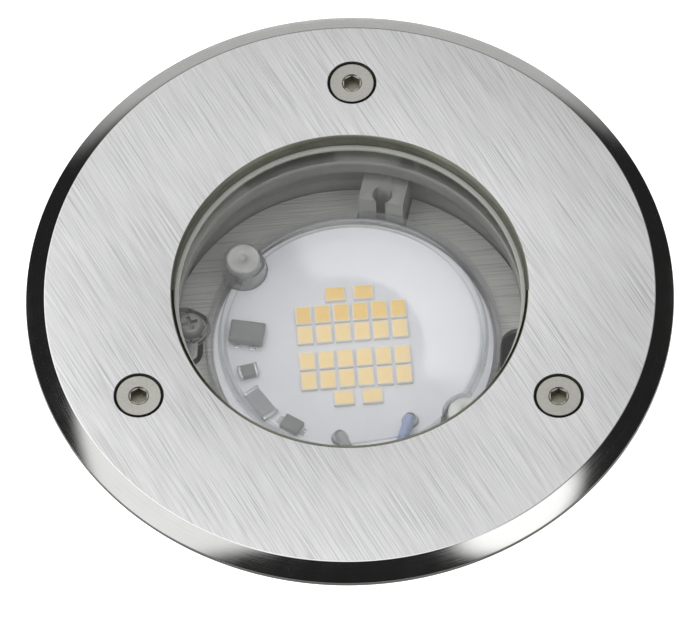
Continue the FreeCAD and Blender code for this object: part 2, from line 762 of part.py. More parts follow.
# Mounting plate.
def notch(reach, width, y=0, turn=0):
    """A notch from the plate's edge in to a reach, with round inner corners."""
    depth = D.chamber_radius
    straight = block(depth, width, D.plate_thickness * 3, *turned(reach + D.notch_round + depth / 2,
                     size(y), turn), plate_low - D.plate_thickness, turn)
    corners = []
    for side in (-1, 1):
        x, corner_y = turned(reach + D.notch_round,
                             y + side * (width / 2 - D.notch_round), turn)
        corners.append(cylinder(D.notch_round, D.plate_thickness * 3, x, corner_y,
                                plate_low - D.plate_thickness))
    filler = block(D.notch_round * 2, width - D.notch_round * 2, D.plate_thickness * 3,
                   *turned(reach + D.notch_round, size(y), turn),
                   plate_low - D.plate_thickness, turn)
    return fuse(straight, filler, *corners)


def rivet_places():
    """Places of the two rivets, across the module from each other."""
    places = []
    for half_turn in (0, 180):
        x, y = polar(cap_radius - D.rivet_inset, D.rivet_angle + half_turn)
        places.append((D.module_x + x, D.module_y + y))
    return places


def mounting_plate():
    """The brushed plate that carries the module, notched where bosses and leads pass."""
    plate = cylinder(plate_radius, D.plate_thickness, 0, 0, plate_low)
    ear_reach = ear_circle_radius - D.ear_front - D.notch_gap
    ear = block(D.chamber_radius, D.ear_width + D.notch_gap * 2, D.plate_thickness * 3,
                *turned(ear_reach + D.chamber_radius / 2, size(0), D.ear_angle),
                plate_low - D.plate_thickness, D.ear_angle)
    holes = [cylinder(D.rivet_shank_radius + D.rivet_gap, D.plate_thickness * 3, x, y,
                      plate_low - D.plate_thickness) for x, y in rivet_places()]
    holes += [cylinder(D.small_screw_radius + D.rivet_gap, D.plate_thickness * 3, x, y,
                       plate_low - D.plate_thickness) for x, y in plate_screw_places()]
    return sub_part(cut(
        plate,
        ear,
        notch(cap_radius + D.side_notch_gap, D.right_notch_width, D.right_notch_y),
        notch(cap_radius + D.side_notch_gap, D.left_notch_width, -D.left_notch_y, 180),
        cylinder(D.earth_boss_radius + D.notch_gap, D.plate_thickness * 3, earth_x, earth_y,
                 plate_low - D.plate_thickness),
        notch(lead_drop_radius - D.lead_notch_room, D.lead_notch_width, 0, D.lead_angle),
        *holes), "mounting_plate")


# Light module: pad, board, chips and the parts beside them.
def module_disc(radius, thickness, level):
    """A disc of the module with the clear cover's two columns cut out of its edge."""
    disc = cylinder(radius, thickness, D.module_x, D.module_y, level)
    columns = [cylinder(D.lug_radius + D.lug_clearance, thickness * 3, x, y, level - thickness)
               for x, y in rivet_places()]
    return cut(disc, *columns)


def thermal_pad():
    """Soft pad that carries heat from the board to the plate."""
    return sub_part(module_disc(board_radius - D.pad_inset, D.pad_thickness, plate_top), "thermal_pad")


def led_board():
    """White metal core circuit board."""
    return sub_part(module_disc(board_radius, D.board_thickness, pad_top), "led_board")


def on_board(x, y):
    """A place given in the module's own turned axes."""
    x, y = turned(size(x), size(y), D.module_turn)
    return D.module_x + x, D.module_y + y


def chip_places():
    """Middle, length and width of every chip, row by row from the back, in the module's axes."""
    places = []
    pair = ((-1, D.chip_long, D.chip_short), (1, D.chip_long, D.chip_short))
    for side, length, width in pair:
        places.append((side * D.pair_pitch / 2, D.pair_row, length, width))
    for row in (D.outer_row, D.inner_row, -D.inner_row, -D.outer_row):
        for column in range(int(D.row_chips.value)):
            x = (column - (D.row_chips - 1) / 2) * D.chip_pitch
            places.append((x, row, D.chip_short, D.chip_long))
    for side, length, width in pair:
        places.append((side * D.pair_pitch / 2, -D.pair_row, length, width))
    return places


def led_chips():
    """The array of light emitting chips."""
    chips = []
    for x, y, length, width in chip_places():
        chips.append(block(length, width, D.chip_height, *on_board(x, y), board_top, D.module_turn))
    return sub_part(group(*chips), "led_chips")


def bridge_rectifier():
    """Rectifier with two pins on each long side."""
    x, y = near_edge(D.rectifier_inset, D.rectifier_angle)
    turn = D.rectifier_turn
    pieces = [block(D.rectifier_length, D.rectifier_width, D.rectifier_height, x, y, board_top, turn)]
    for side in (-1, 1):
        for column in (-1, 1):
            pin_x, pin_y = turned(column * D.pin_pitch / 2, side * D.pin_reach / 2, turn)
            pieces.append(block(D.pin_width, D.pin_reach, D.pin_height, x + pin_x, y + pin_y,
                                board_top, turn))
    return sub_part(fuse(*pieces), "bridge_rectifier")


def surge_absorber():
    """Two terminal surge absorber."""
    x, y = near_edge(D.absorber_inset, D.absorber_angle)
    return sub_part(block(D.absorber_length, D.absorber_width, D.absorber_height, x, y, board_top,
                          D.absorber_turn), "surge_absorber")


def chip_resistor():
    """Large chip resistor."""
    x, y = near_edge(D.resistor_inset, D.resistor_angle)
    return sub_part(block(D.resistor_length, D.resistor_width, D.resistor_height, x, y, board_top,
                          D.resistor_turn), "chip_resistor")


def driver_chip():
    """Driver chip with a leg at each end."""
    x, y = near_edge(D.driver_inset, D.driver_angle)
    turn = D.driver_turn
    body = block(D.driver_length, D.driver_width, D.driver_height, x, y, board_top, turn)
    legs = block(D.driver_length + D.leg_reach * 2, D.leg_width, D.leg_thickness, x, y, board_top,
                 turn)
    return sub_part(fuse(body, legs), "driver_chip")


def solder_joints():
    """Domes of solder under the ends of the two lamp leads."""
    domes = []
    for x, y in (live_joint, neutral_joint):
        domes.append(cone(D.solder_radius, D.solder_top_radius, D.solder_height, x, y, board_top))
    return sub_part(group(*domes), "solder_joints")


# Clear cover and its rivets.
def cap_turning(name, wall, low):
    """A turned solid under the clear cover's profile, drawn a wall's thickness inside it.

    From the level rim the band stands up steeply and slopes down to the level middle.
    """
    level = plate_top + D.cap_rim_height - wall
    brow = cap_radius - D.band_inset - wall
    body = new_body(name)
    revolve(body, (
        (0, low),
        (cap_radius - wall, low),
        (cap_radius - wall, level),
        (brow, level),
        (brow - D.band_lean, level + D.band_rise),
        (cap_radius - D.band_inset - D.band_width, level),
        (0, level),
    ))
    return place(body, D.module_x, D.module_y)


def led_cover():
    """Clear cover over board and chips, on two columns, open where the leads leave."""
    outside = cap_turning("CapOutside", 0, cap_low)
    inside = cap_turning("CapInside", D.cap_wall, cap_low - 1)
    columns = []
    hollows = []
    for x, y in rivet_places():
        columns.append(cylinder(D.lug_radius, lug_top - cap_low, x, y, cap_low))
        hollows.append(cylinder(D.lug_radius, D.lug_height * 2, x, y, cap_low - 1))
    holes = []
    for x, y in rivet_places():
        holes.append(cylinder(D.rivet_shank_radius + D.rivet_gap, D.lug_height * 2, x, y,
                              cap_low - D.lug_height / 2))
        holes.append(cylinder(D.rivet_head_radius + D.lug_clearance, D.lug_height, x, y, lug_top))
    x, y = polar(cap_radius, D.lead_angle)
    slot = block(D.cap_slot_depth * 2, D.cap_slot_width, D.cap_rim_height * 2,
                 D.module_x + x, D.module_y + y, cap_low - D.cap_rim_height, D.lead_angle)
    return sub_part(cut(fuse(outside, *columns), cut(inside, *hollows), slot, *holes), "led_cover")


def cover_rivets():
    """The two nylon rivets that hold cover, board and pad on the plate."""
    rivets = []
    for x, y in rivet_places():
        head = cylinder(D.rivet_head_radius, D.rivet_head_height, x, y, lug_top)
        dimple = cone(D.dimple_radius / 2, D.dimple_radius, D.dimple_depth, x, y,
                      lug_top + D.rivet_head_height - D.dimple_depth)
        tail_top = plate_low - D.cap_gap
        shank = cylinder(D.rivet_shank_radius, lug_top - tail_top, x, y, tail_top)
        tail = cone(D.rivet_shank_radius, D.rivet_tail_radius, D.rivet_tail_length, x, y,
                    tail_top - D.rivet_tail_length)
        rivets.append(cut(fuse(head, shank, tail), dimple))
    return sub_part(group(*rivets), "cover_rivets")


# Leads held inside the housing.
def rounded_path(points):
    """Straight runs joined by tangent arcs, each as large as its two runs allow."""
    edges = []
    here = points[0]
    for before, corner, after in zip(points, points[1:], points[2:]):
        way_in = (corner - before).normalize()
        way_out = (after - corner).normalize()
        turn = way_in.getAngle(way_out)
        shorter = min((corner - before).Length, (after - corner).Length)
        setback = 0.45 * shorter
        radius = setback / math.tan(turn / 2)
        start = corner - way_in * setback
        end = corner + way_out * setback
        inward = (way_out - way_in).normalize()
        centre = corner + inward * (radius / math.cos(turn / 2))
        middle = centre - inward * radius
        edges.append(Part.LineSegment(here, start).toShape())
        edges.append(Part.Arc(start, middle, end).toShape())
        here = end
    edges.append(Part.LineSegment(here, points[-1]).toShape())
    return Part.Wire(edges)


def lead(node, places):
    """An insulated lead through places given as three Sizes each."""
    points = [Vector(*[size(part).value for part in spot]) for spot in places]
    path = rounded_path(points)
    ring = Part.Circle(points[0], points[1] - points[0], D.lead_radius.value)
    solid = path.makePipeShell([Part.Wire([ring.toShape()])], True, False)
    section = math.pi * D.lead_radius.value ** 2
    if abs(solid.Volume / (section * path.Length) - 1) > 0.02:
        raise RuntimeError(f"{node}: volume is not section times length")
    item = doc.addObject("Part::Feature", "Lead")
    item.Shape = solid
    return sub_part(item, node)


def pole_place(pole):
    """Mouth of a wire entry on the -X side of the terminal block; poles count from -Y."""
    return D.block_x - D.block_width / 2, (pole - 1) * D.pole_pitch, floor_top + D.entry_height


def lamp_lead(node, joint, side, pole):
    """A lead from its solder joint, out through the clear cover's rim and down to its terminal."""
    height = board_top + D.solder_height + D.lead_radius
    drop_x, drop_y = turned(lead_drop_radius, side * D.lead_pitch / 2, D.lead_angle)
    mouth_x, mouth_y, mouth_z = pole_place(pole)
    return lead(node, (
        (*joint, height),
        (drop_x, drop_y, height),
        (drop_x, drop_y, mouth_z + D.lead_rise * 2),
        (mouth_x - D.lead_swing / 2, mouth_y - D.pole_pitch, mouth_z + D.lead_rise),
        (mouth_x - D.lead_swing, mouth_y, mouth_z),
        (mouth_x + D.entry_radius, mouth_y, mouth_z),
    ))


def earth_lead():
    """The earth lead, from the tag's barrel down to the last terminal."""
    barrel_x, barrel_y, barrel_z = barrel_end()
    mouth_x, mouth_y, mouth_z = pole_place(2)
    boss_low = plate_low - D.plate_boss_length
    return lead("earth_lead", (
        (barrel_x, barrel_y, barrel_z),
        (barrel_x, barrel_y, boss_low - D.lead_radius * 4),
        (mouth_x - D.lead_swing, mouth_y, mouth_z + D.lead_rise),
        (mouth_x - D.lead_swing, mouth_y, mouth_z),
        (mouth_x + D.entry_radius, mouth_y, mouth_z),
    ))


# Earth connection.
def barrel_end():
    """Lower end of the earth tag's barrel."""
    y = earth_y - D.earth_boss_radius - D.notch_gap - D.tag_barrel_radius
    return earth_x, y, earth_boss_top + D.tag_thickness - D.tag_barrel_length


def earth_lug():
    """Ring tag with a barrel that points down past the plate."""
    x, y, low = barrel_end()
    flat = cylinder(D.tag_ring_radius, D.tag_thickness, earth_x, earth_y, earth_boss_top)
    tongue = block(D.tag_barrel_radius * 2, earth_y - y, D.tag_thickness, x, (earth_y + y) / 2,
                   earth_boss_top)
    barrel = cylinder(D.tag_barrel_radius, D.tag_barrel_length, x, y, low)
    hole = cylinder(D.small_screw_radius + D.rivet_gap, D.tag_thickness * 3, earth_x, earth_y,
                    earth_boss_top - D.tag_thickness)
    return sub_part(cut(fuse(flat, tongue, barrel), hole), "earth_lug")


def earth_washer():
    """Toothed washer under the head of the earth screw."""
    level = earth_boss_top + D.tag_thickness
    disc = cylinder(D.washer_radius, D.washer_thickness, earth_x, earth_y, level)
    hole = cylinder(D.small_screw_radius + D.rivet_gap, D.washer_thickness * 3, earth_x,
                    earth_y, level - D.washer_thickness)
    teeth = []
    for step in range(int(D.tooth_count.value)):
        x, y = polar(D.washer_radius, step * Size(FULL_TURN, f"{FULL_TURN}") / D.tooth_count)
        teeth.append(cylinder(D.tooth_gap_radius, D.washer_thickness * 3, earth_x + x,
                              earth_y + y, level - D.washer_thickness))
    return sub_part(cut(disc, hole, *teeth), "earth_washer")


def earth_screw():
    """Screw that clamps the earth tag on its boss."""
    seat = earth_boss_top + D.tag_thickness + D.washer_thickness
    return sub_part(small_screw(earth_x, earth_y, seat), "earth_screw")


# Terminal block.
def pole_levels():
    """Places along Y of the three poles."""
    return [(pole - 1) * D.pole_pitch for pole in range(3)]


def block_screw_places():
    """Places along Y of the two screws that hold the block, between its poles."""
    return [side * D.pole_pitch / 2 for side in (-1, 1)]


def terminal_block():
    """Three pole block: wire entries through it, a well over each clamping screw."""
    middle = floor_top + D.entry_height
    base = block(D.block_width, D.block_length, D.block_height, D.block_x, 0, floor_top)
    side_axis = Vector(0, 1, 0)
    tools = []
    for y in pole_levels():
        start = D.block_x - D.block_width
        tools.append(cylinder(D.entry_radius, D.block_width * 2, start, y, middle, 90, side_axis))
        clamp_start = D.block_x - D.clamp_length / 2 - D.thread_gap
        tools.append(cylinder(D.clamp_radius + D.thread_gap, D.clamp_length + D.thread_gap * 2,
                              clamp_start, y, middle, 90, side_axis))
        for side in (-1, 1):
            tools.append(cylinder(D.well_radius, D.block_height,
                                  D.block_x + side * D.clamp_screw_offset, y, middle))
    for y in block_screw_places():
        tools.append(cylinder(D.small_screw_radius + D.rivet_gap, D.block_height * 2, D.block_x, y,
                              floor_top - D.block_height / 2))
        tools.append(cylinder(D.small_head_radius + D.rivet_gap, D.block_height, D.block_x, y,
                              floor_top + D.block_height - D.small_head_height * 2))
    return sub_part(cut(base, *tools), "terminal_block")


def terminal_sleeves():
    """Brass sleeves in which the wires are clamped."""
    middle = floor_top + D.entry_height
    side_axis = Vector(0, 1, 0)
    sleeves = []
    for y in pole_levels():
        start = D.block_x - D.clamp_length / 2
        tube = cylinder(D.clamp_radius, D.clamp_length, start, y, middle, 90, side_axis)
        bore = cylinder(D.entry_radius, D.clamp_length * 2, start - D.clamp_length / 2, y, middle,
                        90, side_axis)
        threads = [cylinder(D.clamp_screw_radius + D.thread_gap, D.clamp_radius * 2,
                            D.block_x + side * D.clamp_screw_offset, y, middle)
                   for side in (-1, 1)]
        sleeves.append(cut(tube, bore, *threads))
    return sub_part(group(*sleeves), "terminal_sleeves")


def terminal_screws():
    """Slotted screws that clamp the wires."""
    screws = []
    start = floor_top + D.entry_height + D.lead_radius + D.thread_gap * 2
    high = floor_top + D.block_height - D.small_head_height / 2
    for y in pole_levels():
        for side in (-1, 1):
            x = D.block_x + side * D.clamp_screw_offset
            shank = cylinder(D.clamp_screw_radius, high - start, x, y, start)
            head = cylinder(D.well_radius - D.thread_gap * 4, D.small_head_height, x, y,
                            high - D.small_head_height)
            slot = block(D.well_radius * 2, D.cross_width, D.cross_depth * 2, x, y,
                         high - D.cross_depth, D.slot_turn)
            screws.append(cut(fuse(shank, head), slot))
    return sub_part(group(*screws), "terminal_screws")


def block_screws():
    """Screws that hold the terminal block on the floor of the housing."""
    seat = floor_top + D.block_height - D.small_head_height * 2
    length = seat - floor_top + D.block_thread - D.thread_room
    screws = []
    for y in block_screw_places():
        head = cylinder(D.small_head_radius, D.small_head_height, D.block_x, y, seat)
        shank = cylinder(D.small_screw_radius, length, D.block_x, y, seat - length)
        bars = [block(long, wide, D.cross_depth * 2, D.block_x, y,
                      seat + D.small_head_height - D.cross_depth, D.recess_turn)
                for long, wide in ((D.cross_length, D.cross_width), (D.cross_width, D.cross_length))]
        screws.append(cut(fuse(head, shank), *bars))
    return sub_part(group(*screws), "block_screws")


# Cable gland.
def gland_body():
    """Threaded stub through the floor, hexagon, and the neck that takes the nut."""
    x = D.gland_x
    stub_top = gland_flange_top + D.gland_stub_length
    stub = cylinder(D.gland_thread_radius, stub_top - gland_flange_top, x, 0, gland_flange_top)
    flange = hexagon(D.gland_flats, D.gland_flange, x, 0, gland_flange_low)
    neck_low = gland_flange_low - D.gland_neck_length
    neck = cylinder(D.gland_thread_radius, D.gland_neck_length, x, 0, neck_low)
    bore = cylinder(D.gland_bore_radius, stub_top - neck_low + 2, x, 0, neck_low - 1)
    return sub_part(cut(fuse(stub, flange, neck), bore), "gland_body")


def gland_nut():
    """Clamping nut with a domed end."""
    x = D.gland_x
    turned_radius = D.gland_flats / 2 / cosine(30)
    outside = doc.addObject("Part::MultiCommon", "NutOutside")
    dome = cone(D.nut_mouth_radius + D.nut_end_wall, turned_radius, D.nut_dome, x, 0, nut_low)
    barrel = cylinder(turned_radius, D.nut_length - D.nut_dome, x, 0, nut_shoulder)
    outside.Shapes = [hexagon(D.gland_flats, D.nut_length, x, 0, nut_low), fuse(dome, barrel)]
    bore = cylinder(D.gland_thread_radius + D.thread_gap, D.nut_length, x, 0, nut_shoulder)
    funnel = cone(D.nut_mouth_radius, D.gland_bore_radius, D.nut_dome / 2, x, 0,
                  nut_low + D.nut_dome / 2)
    mouth = cylinder(D.nut_mouth_radius, D.nut_dome, x, 0, nut_low - 1)
    relief = cylinder(D.gland_bore_radius, D.nut_dome / 4, x, 0, nut_shoulder - D.nut_dome / 8)
    return sub_part(cut(outside, bore, funnel, mouth, relief), "gland_nut")


def gland_seal():
    """Rubber bush that grips the cable."""
    x = D.gland_x
    low = nut_shoulder + D.seal_gap
    outside = cylinder(D.gland_bore_radius - D.seal_gap, D.seal_length, x, 0, low)
    bore = cylinder(D.seal_bore_radius, D.seal_length * 2, x, 0, low - D.seal_length / 2)
    return sub_part(cut(outside, bore), "gland_seal")


def gland_oring():
    """Ring that seals the gland against the housing."""
    ring = doc.addObject("Part::Torus", "Oring")
    half = D.oring_thickness / 2
    bind(ring, Radius1=D.gland_thread_radius + D.gland_gap + half, Radius2=half)
    place(ring, D.gland_x, 0, gland_flange_top + half)
    return sub_part(ring, "gland_oring")


def gland_locknut():
    """Nut that holds the gland from inside the housing."""
    x = D.gland_x
    return sub_part(cut(
        hexagon(D.locknut_flats, D.locknut_height, x, 0, floor_top, 10),
        cylinder(D.gland_thread_radius + D.thread_gap, D.locknut_height * 2, x, 0,
                 floor_top - D.locknut_height / 2)), "gland_locknut")


# Window.
def window_glass():
    """Flat tempered glass with ground edges."""
    body = new_body("Glass")
    top = glass_low + D.glass_thickness
    inner = D.glass_radius - D.glass_edge
    revolve(body, (
        (0, glass_low),
        (inner, glass_low),
        (D.glass_radius, glass_low + D.glass_edge),
        (D.glass_radius, top - D.glass_edge),
        (inner, top),
        (0, top),
    ))
    return sub_part(body, "window_glass")


def glass_gasket():
    """Silicone gasket that wraps the edge of the glass."""
    body = new_body("Gasket")
    lip_radius = D.glass_radius - D.gasket_overlap
    top = glass_low + D.glass_thickness
    channel = D.glass_radius + D.gasket_gap
    revolve(body, (
        (lip_radius + D.gasket_lip / 2, seat_floor),
        (gasket_radius, seat_floor),
        (gasket_radius, ring_low),
        (lip_radius, ring_low),
        (lip_radius, top),
        (channel, top),
        (channel, glass_low),
        (lip_radius + D.gasket_lip / 2, glass_low),
    ))
    return sub_part(body, "glass_gasket")


# Trim ring and cover screws.
def trim_ring():
    """Stainless ring: brushed face, polished bevel, countersinks for the cover screws."""
    body = new_body("Ring")
    face = D.ring_radius - D.ring_bevel_width
    revolve(body, (
        (D.ring_bore_radius, ring_low),
        (D.ring_radius, ring_low),
        (D.ring_radius, ring_top - D.ring_bevel_height),
        (face, ring_top),
        (D.ring_bore_radius + D.bore_edge, ring_top),
        (D.ring_bore_radius, ring_top - D.bore_edge),
    ))
    holes = []
    sink = D.screw_head_radius + D.countersink_gap
    hole = D.screw_radius + D.screw_hole_gap
    for angle in cover_screw_angles():
        x, y = polar(D.screw_circle_radius, angle)
        holes.append(cylinder(hole, D.ring_thickness * 3, x, y, ring_low - D.ring_thickness))
        depth = sink - hole
        holes.append(cone(hole, sink, depth, x, y, ring_top - depth))
    return sub_part(cut(body, *holes), "trim_ring")


def cover_screw(node, angle):
    """Countersunk screw with a hexagon socket."""
    x, y = polar(D.screw_circle_radius, angle)
    top = ring_top - D.screw_sink
    cone_height = D.screw_head_radius - D.screw_radius
    head = cone(D.screw_radius, D.screw_head_radius, cone_height, x, y, top - cone_height)
    length = D.screw_length - D.screw_sink - cone_height
    shank = cylinder(D.screw_radius, length, x, y, top - cone_height - length)
    socket = hexagon(D.hex_across_flats, D.hex_depth * 2, x, y, top - D.hex_depth, angle)
    return sub_part(cut(fuse(head, shank), socket), node)


def build():
    """Makes every sub-part."""
    mounting_sleeve()
    housing()
    threaded_inserts()
    mounting_plate()
    plate_screws()
    thermal_pad()
    led_board()
    led_chips()
    bridge_rectifier()
    surge_absorber()
    chip_resistor()
    driver_chip()
    solder_joints()
    led_cover()
    cover_rivets()
    lamp_lead("live_lead", live_joint, -1, 0)
    lamp_lead("neutral_lead", neutral_joint, 1, 1)
    earth_lead()
    earth_lug()
    earth_washer()
    earth_screw()
    terminal_block()
    terminal_sleeves()
    terminal_screws()
    block_screws()
    gland_body()
    gland_nut()
    gland_seal()
    gland_oring()
    gland_locknut()
    window_glass()
    glass_gasket()
    trim_ring()
    names = ("cover_screw_back", "cover_screw_left", "cover_screw_right")
    for node, angle in zip(names, cover_screw_angles()):
        cover_screw(node, angle)


def export():
    """Checks every object and writes each sub-part to its STEP file."""
    doc.recompute()
    for item in doc.Objects:
        if "Invalid" in item.State or "Error" in item.State:
            raise RuntimeError(f"{item.Label} ({item.Name}) failed: {item.State}")
    os.makedirs("parts", exist_ok=True)
    for item in SUB_PARTS:
        shape = item.Shape
        if shape.isNull() or not shape.isValid() or not shape.Solids:
            raise RuntimeError(f"{item.Label}: no valid solid")
        shape.exportStep(f"parts/{item.Label}.step")
        print(f"{item.Label}: {len(shape.Solids)} solid(s), {shape.Volume:.1f} mm3")


build()
export()
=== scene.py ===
"""Looks of the in ground well light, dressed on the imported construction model.

Lengths are given in millimetres and turned to metres where a mesh is made. The frame is the
model's own: +Z up, the foot of the sleeve at z = 0.
"""

import logging
import math
from dataclasses import dataclass
from enum import Enum, IntEnum
from typing import Any, Callable, Sequence

import bmesh
import bpy
import numpy as np
from mathutils import Matrix, Vector


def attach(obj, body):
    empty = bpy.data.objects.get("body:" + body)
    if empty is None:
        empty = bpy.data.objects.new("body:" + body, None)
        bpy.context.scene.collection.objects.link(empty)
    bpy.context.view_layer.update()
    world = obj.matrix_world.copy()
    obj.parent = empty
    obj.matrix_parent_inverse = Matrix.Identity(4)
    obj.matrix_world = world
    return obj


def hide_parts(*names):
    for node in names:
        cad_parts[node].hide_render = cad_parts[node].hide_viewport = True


logging.basicConfig(level=logging.INFO, format="%(name)s: %(message)s")
log = logging.getLogger("well_light")

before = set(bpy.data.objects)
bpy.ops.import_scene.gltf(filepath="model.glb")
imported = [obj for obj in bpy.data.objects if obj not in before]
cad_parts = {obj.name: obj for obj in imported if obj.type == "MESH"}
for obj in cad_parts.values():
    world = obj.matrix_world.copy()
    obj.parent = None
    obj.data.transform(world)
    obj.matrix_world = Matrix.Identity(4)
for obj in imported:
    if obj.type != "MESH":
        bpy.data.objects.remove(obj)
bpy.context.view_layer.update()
MM = 0.001
IMAGE_WIDTH = 700
WHITE = "#FFFFFF"
# Nearly all of a noise lies between these two values.
NOISE_LOW, NOISE_HIGH = 0.3, 0.7

Points = np.ndarray
Faces = list[list[int]]
Shape = tuple[Points, Faces]
Place = tuple[float, float]
Socket = Any
Tree = bpy.types.NodeTree
Choice = Callable[[Points, Points], np.ndarray]


class Body(Enum):
    """The moving bodies that pieces ride on."""

    SLEEVE = "sleeve"
    LUMINAIRE = "luminaire"
    WINDOW = "window"
    COVER = "cover"
    SCREW_BACK = "screw_back"
    SCREW_LEFT = "screw_left"
    SCREW_RIGHT = "screw_right"
    NUT = "nut"


# ---------------------------------------------------------------- nodes and colours

def linear(code: str) -> tuple[float, float, float, float]:
    """Turns an sRGB hex colour to linear values.

    Args:
        code: six hex digits after a #.

    Returns:
        Red, green, blue and an alpha of 1.
    """
    def channel(value: float) -> float:
        """One channel by the sRGB curve."""
        return value / 12.92 if value <= 0.04045 else ((value + 0.055) / 1.055) ** 2.4

    red, green, blue = (channel(int(code[i:i + 2], 16) / 255) for i in (1, 3, 5))
    return red, green, blue, 1.0


def add(tree: Tree, kind: str, inputs: dict[str | int, Any], take: str | int = 0,
        **settings: Any) -> Socket:
    """Adds a node, sets its properties, and fills or links its inputs.

    Args:
        tree: the node tree.
        kind: the node's type, without the leading ShaderNode.
        inputs: value or output socket for each input, by name or number.
        take: name or number of the output that is wanted.
        settings: properties of the node.

    Returns:
        The output's socket, or None where the node has no outputs.
    """
    made = tree.nodes.new(f"ShaderNode{kind}")
    for name, value in settings.items():
        setattr(made, name, value)
    for name, value in inputs.items():
        if isinstance(value, bpy.types.NodeSocket):
            tree.links.new(value, made.inputs[name])
        else:
            made.inputs[name].default_value = value
    return made.outputs[take] if len(made.outputs) else None


def new_material(name: str, surface: Callable[[Tree], Socket]) -> bpy.types.Material:
    """The material of a name, made when it is first asked for.

    Args:
        name: the material's name.
        surface: adds the surface's nodes to a tree and gives its shader.

    Returns:
        The material.
    """
    found = bpy.data.materials.get(name)
    if found:
        return found
    material = bpy.data.materials.new(name)
    material.use_nodes = True
    material.node_tree.nodes.clear()
    add(material.node_tree, "OutputMaterial", {"Surface": surface(material.node_tree)})
    return material


def grains(tree: Tree, size: Sequence[float], turn: float = 0.0, detail: float = 2.0) -> Socket:
    """A pattern of noise whose grains have a real size, fixed to the object.

    Args:
        tree: the node tree.
        size: millimetres along the turned X and Y axes and along Z.
        turn: degrees about Z.
        detail: octaves of finer grain.

    Returns:
        The pattern's value, about 0.5 on average.
    """
    scaled = add(tree, "Mapping", {
        "Vector": add(tree, "TexCoord", {}, "Object"),
        "Rotation": (0.0, 0.0, math.radians(turn)),
        "Scale": tuple(length * MM for length in size)}, vector_type="TEXTURE")
    return add(tree, "TexNoise", {"Vector": scaled, "Scale": 1.0, "Detail": detail}, "Fac")


def shaded(tree: Tree, value: Socket, low: float, high: float, first: str, second: str) -> Socket:
    """A colour that goes between two sRGB colours as a pattern goes from low to high.

    Args:
        tree: the node tree.
        value: the pattern.
        low: value at which the first colour is left.
        high: value at which the second colour is reached.
        first: the first colour.
        second: the second colour.

    Returns:
        The colour.
    """
    share = add(tree, "MapRange", {"Value": value, "From Min": low, "From Max": high})
    return add(tree, "Mix", {0: share, 6: linear(first), 7: linear(second)}, 2,
               data_type="RGBA")


# ---------------------------------------------------------------- finishes

@dataclass(frozen=True)
class Finish:
    """What a surface is made of and how it was made: an even grain."""

    name: str
    colour: str
    second: str
    roughness: float
    grain: float = 0.5
    relief: float = 0.01
    metallic: float = 0.0
    glow: str = "#000000"
    glow_strength: float = 0.0

    def material(self) -> bpy.types.Material:
        """The finish as a material."""
        return new_material(self.name, self.surface)

    def surface(self, tree: Tree) -> Socket:
        """Fine grain in colour, gloss and relief over broad, faint clouds.

        Args:
            tree: the material's tree.

        Returns:
            The shader.
        """
        fine = grains(tree, (self.grain,) * 3, detail=3.0)
        broad = grains(tree, (self.grain * 18,) * 3)
        both = add(tree, "Mix", {0: 0.5, 2: broad, 3: fine}, data_type="FLOAT")
        colour = shaded(tree, both, NOISE_LOW, NOISE_HIGH, self.colour, self.second)
        return self.skin(tree, colour, both, (-0.04, 0.06), fine)

    def skin(self, tree: Tree, colour: Socket, pattern: Socket, ends: tuple[float, float],
             height: Socket) -> Socket:
        """A surface whose gloss and relief follow patterns.

        Args:
            tree: the material's tree.
            colour: its colour.
            pattern: what the roughness follows.
            ends: what the roughness gains where the pattern is low and where it is high.
            height: what the relief follows.

        Returns:
            The shader.
        """
        rough = add(tree, "MapRange", {
            "Value": pattern, "From Min": NOISE_LOW, "From Max": NOISE_HIGH,
            "To Min": self.roughness + ends[0], "To Max": self.roughness + ends[1]})
        return add(tree, "BsdfPrincipled", {
            "Base Color": colour, "Metallic": self.metallic, "Roughness": rough,
            "Emission Color": linear(self.glow), "Emission Strength": self.glow_strength,
            "Normal": self.bumped(tree, height)})

    def bumped(self, tree: Tree, height: Socket) -> Socket:
        """The normal under the finish's relief, whose full step is given in millimetres."""
        return add(tree, "Bump", {
            "Height": height, "Distance": self.relief * MM, "Strength": 1.0})


@dataclass(frozen=True)
class BrushedFinish(Finish):
    """Metal brushed in straight strokes: long fine lines, darker where they cut deeper."""

    turn: float = 0.0
    stroke: float = 7.0
    line: float = 0.16
    scratch: str = "#D2D2D2"

    def surface(self, tree: Tree) -> Socket:
        """Strokes along one direction in the XY plane, and the shader over them.

        Args:
            tree: the material's tree.

        Returns:
            The shader.
        """
        along, across = self.stroke, self.line
        fine = grains(tree, (along, across, along), self.turn, 1.0)
        # Some strokes are longer and cross the others at a slight angle.
        long = grains(tree, (along * 2.4, across * 1.7, along), self.turn + 1.5, 1.0)
        broad = grains(tree, (along * 5, along * 4, along), self.turn)
        lines = add(tree, "Mix", {0: 0.6, 2: long, 3: fine}, data_type="FLOAT")
        colour = shaded(tree, lines, 0.40, 0.60, self.second, self.colour)
        cloud = shaded(tree, broad, NOISE_LOW, NOISE_HIGH, self.scratch, WHITE)
        faint = add(tree, "Mix", {0: 0.25, 6: linear(WHITE), 7: cloud}, 2, data_type="RGBA")
        # Few strokes cut deeper and look darker.
        deep = shaded(tree, long, 0.33, 0.42, self.scratch, WHITE)
        for layer in (faint, deep):
            colour = add(tree, "Mix", {0: 1.0, 6: colour, 7: layer}, 2, data_type="RGBA",
                         blend_type="MULTIPLY")
        return self.skin(tree, colour, lines, (0.06, -0.06), lines)


